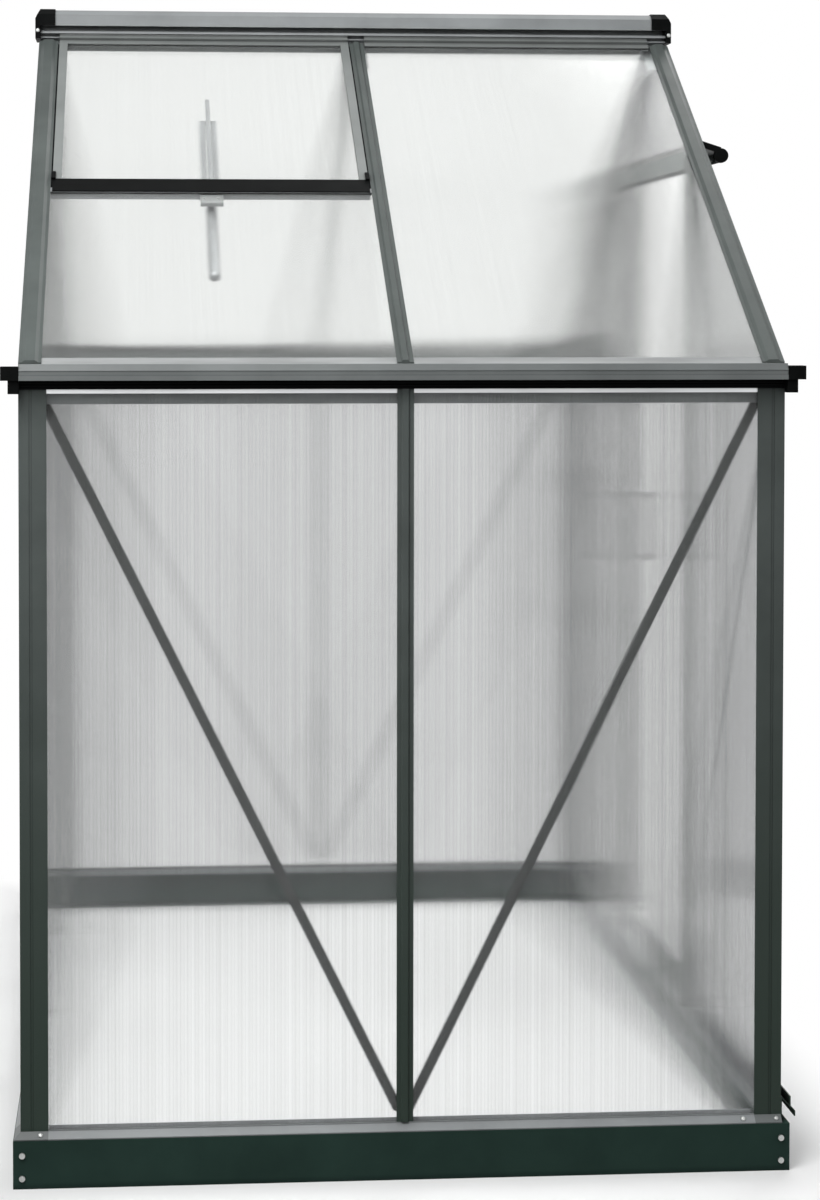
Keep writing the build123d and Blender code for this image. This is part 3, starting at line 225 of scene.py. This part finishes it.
def fluted_sheet(name, colour, axis, slopes, contrast):
    """Clear twin-wall sheet: fine flutes along one axis spread what is behind it sideways."""
    shader = Shader(name)
    shader.set(Transmission_Weight=1.0, IOR=SHEET_IOR, Roughness=SHEET_ROUGHNESS)
    shader.set(Specular_Tint=(*grey(SHINE), 1.0))
    wave = shader.add("ShaderNodeTexWave", bands_direction=axis)
    wave.inputs["Scale"].default_value = WAVE_PERIOD / FLUTE_PITCH
    shader.join(shader.place, wave.inputs["Vector"])
    across = (1.0, 0.0, 0.0) if axis == "X" else (0.0, 1.0, 0.0)
    streaks = shader.add("ShaderNodeMix", data_type="RGBA", blend_type="MULTIPLY")
    streaks.inputs["Factor"].default_value = 1.0
    shader.ramp(wave.outputs["Fac"], ((0.8, grey(1.0)), (1.0, grey(1.0 - contrast))), streaks.inputs["A"])
    stops = ((0.3, tinted(colour, 1.0 - contrast)), (0.7, tinted(colour, 1.0 + 0.7 * contrast)))
    shader.ramp(shader.noise(STREAK_SCALE, 5.0, across), stops, streaks.inputs["B"])
    shader.join(streaks.outputs["Result"], shader.surface.inputs["Base Color"])
    face = shader.add("ShaderNodeNewGeometry")
    lean = shader.add("ShaderNodeCombineXYZ")
    slope = shader.add("ShaderNodeMath", operation="MULTIPLY")
    parts = shader.add("ShaderNodeSeparateXYZ")
    shader.join(shader.place, parts.inputs["Vector"])
    grain = shader.add("ShaderNodeTexWhiteNoise", noise_dimensions="1D")
    shader.join(parts.outputs[axis], grain.inputs["W"])
    straight = STRAIGHT_SLOPE / slopes / 2
    turns = (
        (0.0, grey(0.5 - straight)),
        (STRAIGHT_SHARE, grey(0.5 + straight)),
        (STRAIGHT_SHARE + STEP, grey(0.0)),
        (1.0, grey(1.0)),
    )
    spread = shader.add("ShaderNodeMapRange")
    spread.inputs["To Min"].default_value = -slopes / 2
    spread.inputs["To Max"].default_value = slopes / 2
    shader.ramp(grain.outputs["Value"], turns, spread.inputs["Value"])
    shader.join(spread.outputs["Result"], slope.inputs[0])
    entering = shader.add("ShaderNodeMath", operation="SUBTRACT")
    entering.inputs[0].default_value = 1.0
    shader.join(face.outputs["Backfacing"], entering.inputs[1])
    shader.join(entering.outputs["Value"], slope.inputs[1])
    shader.join(slope.outputs["Value"], lean.inputs[axis])
    tilt = shader.add("ShaderNodeVectorMath", operation="ADD")
    shader.join(face.outputs["Normal"], tilt.inputs[0])
    shader.join(lean.outputs["Vector"], tilt.inputs[1])
    normal = shader.add("ShaderNodeVectorMath", operation="NORMALIZE")
    shader.join(tilt.outputs["Vector"], normal.inputs[0])
    shader.join(normal.outputs["Vector"], shader.surface.inputs["Normal"])
    clear = shader.add("ShaderNodeBsdfTransparent")
    clear.inputs["Color"].default_value = (*colour, 1.0)
    path = shader.add("ShaderNodeLightPath")
    mix = shader.add("ShaderNodeMixShader")
    shader.join(path.outputs["Is Shadow Ray"], mix.inputs["Fac"])
    milk = shader.add("ShaderNodeBsdfTranslucent")
    milk.inputs["Color"].default_value = MILK_COLOUR
    haze = shader.add("ShaderNodeMixShader")
    haze.inputs["Fac"].default_value = HAZE
    shader.join(shader.surface.outputs["BSDF"], haze.inputs[1])
    shader.join(milk.outputs["BSDF"], haze.inputs[2])
    shader.join(haze.outputs["Shader"], mix.inputs[1])
    shader.join(clear.outputs["BSDF"], mix.inputs[2])
    shader.join(mix.outputs["Shader"], shader.output.inputs["Surface"])
    return shader.material


# Colours and finishes
# The second frame colour is darker and paints shade towards the ground.
FRAME_COLOUR, FRAME_FOOT_SHADE = (0.088, 0.101, 0.097), (0.046, 0.066, 0.054)
BLACK = (0.004, 0.0045, 0.0045)
WALL_TINT = (0.802, 0.807, 0.807)
ROOF_TINT = (0.93, 0.94, 0.93)
EVEN, ALONG, ACROSS = (1.0, 1.0, 1.0), (0.1, 1.0, 1.0), (1.0, 0.08, 0.08)
MATERIALS = {
    "frame_metal": powder_coat("Frame powder coat", FRAME_COLOUR, 0.12, foot=FRAME_FOOT_SHADE),
    "base_steel": powder_coat("Base powder coat", (0.028, 0.056, 0.046), 0.06, (0.38, 0.52)),
    "zinc_steel": bare_metal("Zinc plate", (0.46, 0.47, 0.46), (0.42, 0.6), EVEN),
    "black_plastic": moulded_plastic("Black moulding", BLACK, 0.03, (0.4, 0.6)),
    "white_nylon": moulded_plastic("White nylon", (0.72, 0.72, 0.69), 0.5, (0.35, 0.5)),
    "bare_aluminium": bare_metal("Mill aluminium", (0.42, 0.43, 0.44), (0.42, 0.58), ACROSS),
}
RUBBER = moulded_plastic("Black rubber", BLACK, 0.05, (0.55, 0.75))
FOIL = bare_metal("Foil tape", (0.68, 0.69, 0.7), (0.4, 0.55), ALONG)
DULL_METAL = bare_metal("Dull aluminium", (0.3, 0.31, 0.31), (0.6, 0.75), ALONG)
# Painted light: the pale, middle and light coats are lighter copies of the frame coat, for bars that catch
# more light.
PAINTED_LIGHT_PALE_COAT = powder_coat("Painted light pale powder coat", (0.2, 0.215, 0.21), 0.4)
# Painted shade: a darker copy of the frame coat, for the braces behind the wall sheets.
PAINTED_SHADE_COAT = powder_coat("Painted shade powder coat", (0.018, 0.022, 0.02), 0.12)
PAINTED_HALF_LIGHT_COAT = powder_coat("Painted half light powder coat", (0.15, 0.163, 0.162), 0.3)
PAINTED_LIGHT_COAT = powder_coat("Painted light powder coat", (0.27, 0.285, 0.29), 0.3)
ROOF_SHEET = fluted_sheet("Roof sheet", ROOF_TINT, "X", ROOF_SPREAD, ROOF_STREAKS)
EAVE_SHEET = fluted_sheet("Eave wall sheet", WALL_TINT, "X", WALL_SPREAD, WALL_STREAKS)
GABLE_SHEET = fluted_sheet("Gable sheet", WALL_TINT, "Y", WALL_SPREAD, WALL_STREAKS)

# Nodes whose finish isn't their slot's usual one; the extra powder coats are lighter copies of the frame
# coat (painted light) and a darker one (painted shade)
FINISHES = (
    (ROOF_SHEET, ("roof_sheet_front_right", "roof_sheet_below_vent", "roof_sheets_back", "vent_sheet")),
    (EAVE_SHEET, ("eave_wall_sheets",)),
    (GABLE_SHEET, ("left_gable_sheets", "right_gable_sheets", "over_door_sheet", "door_sheets")),
    (PAINTED_LIGHT_PALE_COAT, ("ridge_glazing_rails", "vent_top_rail", "vent_side_rails")),
    (PAINTED_LIGHT_COAT, ("eave_sills", "gable_sills", "ridge_bar", "vent_cross_bar")),
    (PAINTED_HALF_LIGHT_COAT, ("eave_gutter_front", "eave_gutter_back")),
    (PAINTED_SHADE_COAT, ("eave_wall_braces",)),
)
OWN_FINISH = {name: finish for finish, names in FINISHES for name in names}
for row in frame["record"]["subparts"]:
    name = row["node"]
    mesh = frame["nodes"][name].data
    mesh.materials.clear()
    mesh.materials.append(OWN_FINISH.get(name) or MATERIALS[row["material_slot"]])


# Sizes that the added pieces share with the frame
LEFT, MIDDLE, RIGHT = -0.652, -0.012, 0.628
FRONT, BACK = -0.94, 0.94
EAVE_TOP = 1.365
ROOF_PITCH = radians(35.0)
POST_TOP = 1.322
GUTTER_FLOOR = 1.337
WALL_SKIN = 0.002
POST_FACE = 0.046
BAR_HALF = 0.014
EDGE_FACE = 0.038
SHEET_OUT, SHEET_IN = 0.0023, 0.0063
VENT_SPAN = (-0.611, -0.029)
VENT_GAP = 0.003
VENT_LOW, HINGE_RISE = 0.551027, 1.121027
VENT_FOOT = 0.022
STAY_MIDDLE = -0.32
BASE_TOP = 0.08
DRIP_OUT, DRIP_UP = 0.011, 0.012
BAR_BACK = 0.028
HALF_BAY = 0.313
DOOR_INNER = 0.636
DOOR_EDGES = (0.296, 0.936)
WALL_SHEET_TOP = 1.3309
ROOF_SHEET_END = -0.0075
BRACE_SPREAD, BRACE_FOOT = 0.011, 0.112
BRACE_REACH, BRACE_HEAD = 0.619, 1.342
GABLE_REACH, GABLE_HEAD = 0.919, 1.262

# Sizes of the added pieces
SEAL_FOOT, SEAL_HEAD, SEAL_PLAY = 0.0028, 0.003, 0.0003
SEAL_RIBS, SEAL_RIB_HALF = (0.003, 0.0075, 0.012), 0.0012
SEAL_CREST, SEAL_VALLEY = 0.0032, 0.0022
TAPE = 0.0002
WALL_TAPE_LIP, ROOF_TAPE_LIP = 1.315, 0.018
GASKET_PLAY, GASKET_FOOT, GASKET_SHORT = 0.0004, 0.0125, 0.03
GASKET_TOP, GASKET_STEP, GASKET_LOW = -0.0015, -0.0105, -0.012
CLIP_BACK, CLIP_LENGTH, CLIP_FLAT = 0.004, 0.027, 0.02
CLIP_BED, CLIP_NOSE, CLIP_TOP = 0.0021, 0.0042, 0.0062
CLIP_IN, CLIP_OUT, CLIP_BEVEL = 0.0055, 0.0022, 0.0006
DRIP_SHORT = 0.0005
BRACE_BOLT = 0.003
RIVETS_ALONG = (LEFT + 0.033, RIGHT - 0.066, RIGHT - 0.0095)
RIVET_OUT, RIVET_UP, RIVET_HEAD = 0.0055, 0.0072, 0.004
CLAMP_HALF, CLAMP_WALL, CLAMP_LIP = 0.021, 0.002, 0.009
CLAMP_LOW, CLAMP_HIGH, CLAMP_TOP = 0.508, 0.531, -0.0086
CLAMP_SCREW, CLAMP_SCREW_SHARE = 0.0034, 0.6
CAP_SCREW, CAP_SCREW_IN, CAP_SCREW_UP = 0.0042, 0.005, 0.016
HANGER_BOLT, HANGER_HALF, HANGER_BOLTS_UP = 0.002, 0.016, (0.01, 0.022)
HANDLE_SCREW, HANDLE_SCREW_IN = 0.003, 0.012
BRUSH_LOW, BRUSH_HIGH = 0.2, 1.7
BRUSH_NEAR, BRUSH_FAR, BRUSH_BACKING = 0.008, 0.014, 0.0015
TUFT_PITCH, TUFT, TUFT_TIP = 0.006, 0.0055, 0.6293
ROOT_IN, TIP_IN = 0.001, 0.002
TIP_RISES = (0.0, 0.001, 0.0045, 0.005)
TUFT_LEAN, LEAN_WAVE = 0.0008, 2.4
TUFT_UNEVEN, TIP_WAVE = 0.0006, 3.7

# Turned outlines as pairs of radius and height, in multiples of the bolt's or the head's radius
WASHER = ((2.1, 0.0), (2.1, 0.4), (1.9, 0.5))
NUT = ((1.75, 0.5), (1.9, 0.65), (1.9, 1.8), (1.6, 2.1))
STUD = ((1.0, 2.1), (1.0, 3.0), (0.7, 3.4))
DOME = ((1.0, 0.0), (0.96, 0.25), (0.75, 0.5), (0.35, 0.62))


# Added pieces
def front_wall(depth, height, along):
    return (along, FRONT + depth, height)


def back_wall(depth, height, along):
    return (along, BACK - depth, height)


def front_roof(rise, out, along):
    y = FRONT + rise * cos(ROOF_PITCH) - out * sin(ROOF_PITCH)
    return (along, y, EAVE_TOP + rise * sin(ROOF_PITCH) + out * cos(ROOF_PITCH))


def back_roof(rise, out, along):
    x, y, z = front_roof(rise, out, along)
    return (x, -y, z)


def skin(form, rings):
    """Joins rings of points into a closed tube with flat ends."""
    loops = [[form.verts.new(point) for point in ring] for ring in rings]
    for near, far in zip(loops, loops[1:]):
        for index in range(len(near)):
            after = (index + 1) % len(near)
            form.faces.new((near[index], near[after], far[after], far[index]))
    form.faces.new(loops[0])
    form.faces.new(loops[-1])


def extruded(form, outline, place, low, high):
    """A bar of one outline, from low to high along its run."""
    skin(form, [[place(u, v, along) for u, v in outline] for along in (low, high)])


def turned(form, profile, size, origin, axis, sides):
    """A form turned about an axis from pairs of radius and height, in multiples of size."""
    turn = Vector(axis).to_track_quat("Z", "Y")
    rings = []
    for radius, height in profile:
        ring = []
        for step in range(sides):
            angle = 2.0 * pi * step / sides
            point = Vector((radius * size * cos(angle), radius * size * sin(angle), height * size))
            ring.append(Vector(origin) + turn @ point)
        rings.append(ring)
    skin(form, rings)


def add_piece(name, form, material, body, bevel=0.0):
    bmesh.ops.recalc_face_normals(form, faces=form.faces)
    if bevel:
        bmesh.ops.bevel(form, geom=form.edges, offset=bevel, segments=2, affect="EDGES", clamp_overlap=True)
    mesh = bpy.data.meshes.new(name)
    form.to_mesh(mesh)
    form.free()
    mesh.materials.append(material)
    piece = bpy.data.objects.new(name, mesh)
    bpy.context.scene.collection.objects.link(piece)
    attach(piece, body)


def eave_shade_seals():
    """Ribbed rubber under each gutter, along the head of the eave wall; its black also stands in for the
    shade under the gutter.
    """
    head = GUTTER_FLOOR - SEAL_PLAY
    outline = [(0.0, POST_TOP), (-SEAL_FOOT, POST_TOP)]
    for rise in SEAL_RIBS:
        middle = POST_TOP + rise
        outline += [(-SEAL_CREST, middle - SEAL_RIB_HALF), (-SEAL_VALLEY, middle + SEAL_RIB_HALF)]
    outline += [(-SEAL_HEAD, head), (0.0, head)]
    for name, place in (("eave_shade_seal_front", front_wall), ("eave_shade_seal_back", back_wall)):
        form = bmesh.new()
        extruded(form, outline, place, LEFT, RIGHT)
        add_piece(name, form, RUBBER, "frame")


def channel_outline(lip, end, outer, inner):
    """Tape folded in a thin U over a sheet's end, from its lips on both faces."""
    fold = end + TAPE if end > lip else end - TAPE
    return [
        (lip, outer - TAPE), (fold, outer - TAPE), (fold, inner + TAPE), (lip, inner + TAPE),
        (lip, inner), (end, inner), (end, outer), (lip, outer),
    ]


def sheet_tapes():
    """Foil tape folded over the tops of the eave wall sheets and the eaves of the roof sheets."""
    wall_bays = ((LEFT + POST_FACE, MIDDLE - BAR_HALF), (MIDDLE + BAR_HALF, RIGHT - POST_FACE))
    roof_bays = ((LEFT + EDGE_FACE, MIDDLE - BAR_HALF), (MIDDLE + BAR_HALF, RIGHT - EDGE_FACE))
    wall_tape = [(v, u) for u, v in channel_outline(WALL_TAPE_LIP, WALL_SHEET_TOP, SHEET_OUT, SHEET_IN)]
    roof_tape = channel_outline(ROOF_TAPE_LIP, ROOF_SHEET_END, -SHEET_IN, -SHEET_OUT)
    form = bmesh.new()
    for low, high in wall_bays:
        for place in (front_wall, back_wall):
            extruded(form, wall_tape, place, low, high)
    add_piece("wall_sheet_tapes", form, FOIL, "frame")
    form = bmesh.new()
    for low, high in roof_bays:
        for place in (front_roof, back_roof):
            extruded(form, roof_tape, place, low, high)
    add_piece("roof_sheet_tapes", form, DULL_METAL, "frame")


def vent_shade_gaskets():
    """Rubber angles on the rafters that close the gaps beside the vent; their black also stands in for the
    shade in those gaps.
    """
    form = bmesh.new()
    reaches = (GASKET_PLAY, VENT_GAP - GASKET_PLAY, GASKET_FOOT)
    for edge, side in ((VENT_SPAN[0], -1), (VENT_SPAN[1], 1)):
        near, far, foot = (edge + side * reach for reach in reaches)
        outline = [
            (near, GASKET_TOP), (far, GASKET_TOP), (far, GASKET_STEP),
            (foot, GASKET_STEP), (foot, GASKET_LOW), (near, GASKET_LOW),
        ]
        rings = []
        for rise in (VENT_LOW, HINGE_RISE - GASKET_SHORT):
            rings.append([front_roof(rise, out, along) for along, out in outline])
        skin(form, rings)
    add_piece("vent_shade_gaskets", form, RUBBER, "frame")


def vent_corner_clips():
    """Moulded clips where the vent's side rails meet its bottom rail."""
    form = bmesh.new()
    low = VENT_LOW + VENT_FOOT - CLIP_BACK
    high = low + CLIP_LENGTH
    outline = [
        (low, CLIP_BED), (high, CLIP_BED), (high, CLIP_NOSE), (low + CLIP_FLAT, CLIP_TOP), (low, CLIP_TOP),
    ]
    for edge, side in ((VENT_SPAN[0], -1), (VENT_SPAN[1], 1)):
        extruded(form, outline, front_roof, edge - side * CLIP_IN, edge + side * CLIP_OUT)
    add_piece("vent_corner_clips", form, MATERIALS["black_plastic"], "vent", CLIP_BEVEL)


def corner_drips():
    """Sloping ledges round the feet of the corner posts, in line with those of the sills."""
    ledge = [
        (0.0, BASE_TOP + DRIP_UP - WALL_SKIN), (0.0, BASE_TOP + DRIP_UP),
        (-DRIP_OUT, BASE_TOP + WALL_SKIN), (-DRIP_OUT, BASE_TOP),
    ]
    form = bmesh.new()
    for line, inward in ((FRONT, 1), (BACK, -1)):
        rings = [
            [(LEFT + POST_FACE, line + inward * depth, height) for depth, height in ledge],
            [(LEFT + depth, line + inward * depth, height) for depth, height in ledge],
            [(LEFT + depth, line + inward * POST_FACE, height) for depth, height in ledge],
        ]
        skin(form, rings)
    for place in (front_wall, back_wall):
        extruded(form, ledge, place, RIGHT - POST_FACE, RIGHT - DRIP_SHORT)
    # The ledges face up and take a lighter copy of the frame coat: painted light.
    add_piece("corner_drips", form, PAINTED_HALF_LIGHT_COAT, "frame")


def hex_nut(form, origin, axis, size):
    """Washer, hexagon nut and the rounded end of its bolt, size being the bolt's radius."""
    turned(form, WASHER, size, origin, axis, sides=24)
    turned(form, NUT, size, origin, axis, sides=6)
    turned(form, STUD, size, origin, axis, sides=16)


def dome(form, origin, axis, radius):
    """Low domed head of a rivet or a pan-head screw."""
    turned(form, DOME, radius, origin, axis, sides=20)


def brace_nuts():
    """Nuts at both ends of the flat braces, on the inner faces of the bars."""
    form = bmesh.new()
    for reach, height in ((BRACE_SPREAD, BRACE_FOOT), (BRACE_REACH, BRACE_HEAD)):
        for along in (MIDDLE - reach, MIDDLE + reach):
            hex_nut(form, (along, FRONT + BAR_BACK, height), (0, 1, 0), BRACE_BOLT)
            hex_nut(form, (along, BACK - BAR_BACK, height), (0, -1, 0), BRACE_BOLT)
    for reach, height in ((HALF_BAY, BRACE_FOOT), (GABLE_REACH, GABLE_HEAD)):
        for along in (-reach, reach):
            hex_nut(form, (LEFT + BAR_BACK, along, height), (1, 0, 0), BRACE_BOLT)
            hex_nut(form, (RIGHT - BAR_BACK, along, height), (-1, 0, 0), BRACE_BOLT)
    add_piece("brace_nuts", form, MATERIALS["zinc_steel"], "frame")


def ledge_rivets():
    """Rivets square to the slope of the ledges, near the feet of the corner posts."""
    form = bmesh.new()
    slope = Vector((0.0, DRIP_UP - WALL_SKIN, DRIP_OUT)).normalized()
    for along in RIVETS_ALONG:
        for line, outward in ((FRONT, -1), (BACK, 1)):
            place = (along, line + outward * RIVET_OUT, BASE_TOP + RIVET_UP)
            dome(form, place, (0.0, outward * slope.y, slope.z), RIVET_HEAD)
    add_piece("ledge_rivets", form, MATERIALS["zinc_steel"], "frame")


def stay_clamp():
    """Clamp plate with two screws that holds the vent's stay under the cross bar."""
    form = bmesh.new()
    fold = CLAMP_LOW - CLAMP_WALL
    under = CLAMP_TOP - CLAMP_WALL
    foot = CLAMP_TOP - CLAMP_LIP
    outline = [
        (CLAMP_HIGH, CLAMP_TOP), (CLAMP_LOW, CLAMP_TOP), (fold, under), (fold, foot), (CLAMP_LOW, foot),
        (CLAMP_LOW, under), (CLAMP_HIGH, under),
    ]
    extruded(form, outline, front_roof, STAY_MIDDLE - CLAMP_HALF, STAY_MIDDLE + CLAMP_HALF)
    middle = (CLAMP_HIGH + CLAMP_LOW) / 2
    for side in (-1, 1):
        place = front_roof(middle, CLAMP_TOP, STAY_MIDDLE + side * CLAMP_HALF * CLAMP_SCREW_SHARE)
        dome(form, place, (0.0, -sin(ROOF_PITCH), cos(ROOF_PITCH)), CLAMP_SCREW)
    add_piece("stay_clamp", form, DULL_METAL, "frame")


def ridge_cap_screws():
    """Pan-head screws through both faces of the ridge's end caps."""
    form = bmesh.new()
    low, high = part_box("ridge_end_caps")
    height = low[2] + CAP_SCREW_UP
    for along in (low[0] + CAP_SCREW_IN, high[0] - CAP_SCREW_IN):
        dome(form, (along, low[1], height), (0, -1, 0), CAP_SCREW)
        dome(form, (along, high[1], height), (0, 1, 0), CAP_SCREW)
    add_piece("ridge_cap_screws", form, MATERIALS["zinc_steel"], "frame")


def hanger_bolts():
    """Bolts through the door's hangers."""
    form = bmesh.new()
    low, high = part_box("door_hangers")
    for along in (low[1] + HANGER_HALF, high[1] - HANGER_HALF):
        for rise in HANGER_BOLTS_UP:
            hex_nut(form, (high[0], along, low[2] + rise), (1, 0, 0), HANGER_BOLT)
    add_piece("hanger_bolts", form, MATERIALS["zinc_steel"], "door")


def handle_screws():
    """Screws through the door's pull."""
    form = bmesh.new()
    low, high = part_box("door_handle")
    for height in (low[2] + HANDLE_SCREW_IN, high[2] - HANDLE_SCREW_IN):
        dome(form, (high[0], (low[1] + high[1]) / 2, height), (1, 0, 0), HANDLE_SCREW)
    add_piece("handle_screws", form, MATERIALS["zinc_steel"], "door")


def door_brushes():
    """Tufted strips on the back of the door's stiles."""
    form = bmesh.new()
    root = DOOR_INNER - BRUSH_BACKING
    for edge, side in ((DOOR_EDGES[0], 1), (DOOR_EDGES[1], -1)):
        near, far = edge + side * BRUSH_NEAR, edge + side * BRUSH_FAR
        backing = [(DOOR_INNER, near), (DOOR_INNER, far), (root, far), (root, near)]
        skin(form, [[(x, y, z) for x, y in backing] for z in (BRUSH_LOW, BRUSH_HIGH)])
        first, last = near + ROOT_IN, far - ROOT_IN
        tuft = ((first, 0.0), (last, 0.0), (last, TUFT), (first, TUFT))
        first, last = near + TIP_IN, far - TIP_IN
        end = tuple(zip((first, last, last, first), TIP_RISES))
        for index in range(int((BRUSH_HIGH - BRUSH_LOW) / TUFT_PITCH)):
            foot = BRUSH_LOW + index * TUFT_PITCH
            lean = TUFT_LEAN * sin(LEAN_WAVE * index)
            tip = TUFT_TIP + TUFT_UNEVEN * sin(TIP_WAVE * index)
            base = [(root, y, foot + rise) for y, rise in tuft]
            crown = [(tip, y + lean, foot + rise) for y, rise in end]
            skin(form, [base, crown])
    add_piece("door_brushes", form, RUBBER, "door")


eave_shade_seals()
sheet_tapes()
vent_shade_gaskets()
vent_corner_clips()
corner_drips()
brace_nuts()
ledge_rivets()
stay_clamp()
ridge_cap_screws()
hanger_bolts()
handle_screws()
door_brushes()


# Stage
def seen_rays(tree):
    """One for rays that show a surface to the camera, straight on or by way of metal or glass."""
    path = tree.nodes.new("ShaderNodeLightPath")
    total = path.outputs["Is Camera Ray"]
    for name in ("Is Glossy Ray", "Is Transmission Ray"):
        either = tree.nodes.new("ShaderNodeMath")
        either.operation = "MAXIMUM"
        tree.links.new(total, either.inputs[0])
        tree.links.new(path.outputs[name], either.inputs[1])
        total = either.outputs["Value"]
    return total


FLOOR_TONES = ((0.3, grey(0.88)), (0.7, grey(0.92)))


def floor_material():
    """Pale studio floor that fades into the white backdrop away from the object."""
    shader = Shader("Studio floor")
    seen = seen_rays(shader.tree)
    tone = shader.add("ShaderNodeMix", data_type="RGBA")
    tone.inputs["A"].default_value = BOUNCE_COLOUR
    shader.join(seen, tone.inputs["Factor"])
    shader.ramp(shader.noise(2.0, 4.0), FLOOR_TONES, tone.inputs["B"])
    shader.join(tone.outputs["Result"], shader.surface.inputs["Base Color"])
    shader.levels(shader.noise(8.0), FLOOR_ROUGHNESS, shader.surface.inputs["Roughness"])
    share = shader.stretched((1.0 / FADE_HALF[0], 1.0 / FADE_HALF[1], 0.0))
    size = shader.add("ShaderNodeVectorMath", operation="ABSOLUTE")
    shader.join(share, size.inputs[0])
    parts = shader.add("ShaderNodeSeparateXYZ")
    shader.join(size.outputs["Vector"], parts.inputs["Vector"])
    largest = shader.add("ShaderNodeMath", operation="MAXIMUM")
    shader.join(parts.outputs["X"], largest.inputs[0])
    shader.join(parts.outputs["Y"], largest.inputs[1])
    fade = shader.add("ShaderNodeMapRange", interpolation_type="SMOOTHSTEP")
    fade.inputs["From Min"].default_value = 1.0
    fade.inputs["From Max"].default_value = FADE_END
    fade.inputs["To Min"].default_value = FADE_LEAST
    shader.join(largest.outputs["Value"], fade.inputs["Value"])
    far = shader.add("ShaderNodeMath", operation="MULTIPLY")
    shader.join(fade.outputs["Result"], far.inputs[0])
    shader.join(seen, far.inputs[1])
    white = shader.add("ShaderNodeEmission")
    mix = shader.add("ShaderNodeMixShader")
    shader.join(far.outputs["Value"], mix.inputs["Fac"])
    shader.join(shader.surface.outputs["BSDF"], mix.inputs[1])
    shader.join(white.outputs["Emission"], mix.inputs[2])
    shader.join(mix.outputs["Shader"], shader.output.inputs["Surface"])
    return shader.material


def make_floor():
    mesh = bpy.data.meshes.new("floor")
    signs = ((-1, -1), (1, -1), (1, 1), (-1, 1))
    corners = [(x * FLOOR_HALF, y * FLOOR_HALF, 0.0) for x, y in signs]
    mesh.from_pydata(corners, [], [(0, 1, 2, 3)])
    mesh.materials.append(floor_material())
    floor = bpy.data.objects.new("floor", mesh)
    bpy.context.scene.collection.objects.link(floor)


def make_light(name, place, target, size, power):
    light = bpy.data.lights.new(name, "AREA")
    light.size = size
    light.energy = power
    holder = bpy.data.objects.new(name, light)
    holder.location = place
    holder.rotation_euler = (Vector(target) - Vector(place)).to_track_quat("-Z", "Y").to_euler()
    bpy.context.scene.collection.objects.link(holder)


def make_world():
    """A white backdrop for what is seen directly or through a sheet, and a softer sky for light."""
    world = bpy.data.worlds.new("Studio")
    bpy.context.scene.world = world
    world.use_nodes = True
    tree = world.node_tree
    sky = tree.nodes["Background"]
    sky.inputs["Color"].default_value = SKY_COLOUR
    sky.inputs["Strength"].default_value = SKY_STRENGTH
    backdrop = tree.nodes.new("ShaderNodeBackground")
    backdrop.inputs["Color"].default_value = WHITE
    mix = tree.nodes.new("ShaderNodeMixShader")
    output = tree.nodes["World Output"]
    tree.links.new(seen_rays(tree), mix.inputs["Fac"])
    tree.links.new(sky.outputs[0], mix.inputs[1])
    tree.links.new(backdrop.outputs[0], mix.inputs[2])
    tree.links.new(mix.outputs[0], output.inputs["Surface"])


def make_camera():
    camera = bpy.data.cameras.new("Camera")
    camera.lens = CAMERA_LENS
    camera.shift_x, camera.shift_y = CAMERA_SHIFT
    holder = bpy.data.objects.new("Camera", camera)
    holder.location = CAMERA_PLACE
    holder.rotation_euler = (radians(90.0 + CAMERA_PITCH), 0.0, radians(-CAMERA_YAW))
    bpy.context.scene.collection.objects.link(holder)
    bpy.context.scene.camera = holder


make_floor()
make_world()
for lamp in LAMPS:
    make_light(*lamp)
make_camera()
bpy.context.scene.view_settings.view_transform = "Standard"
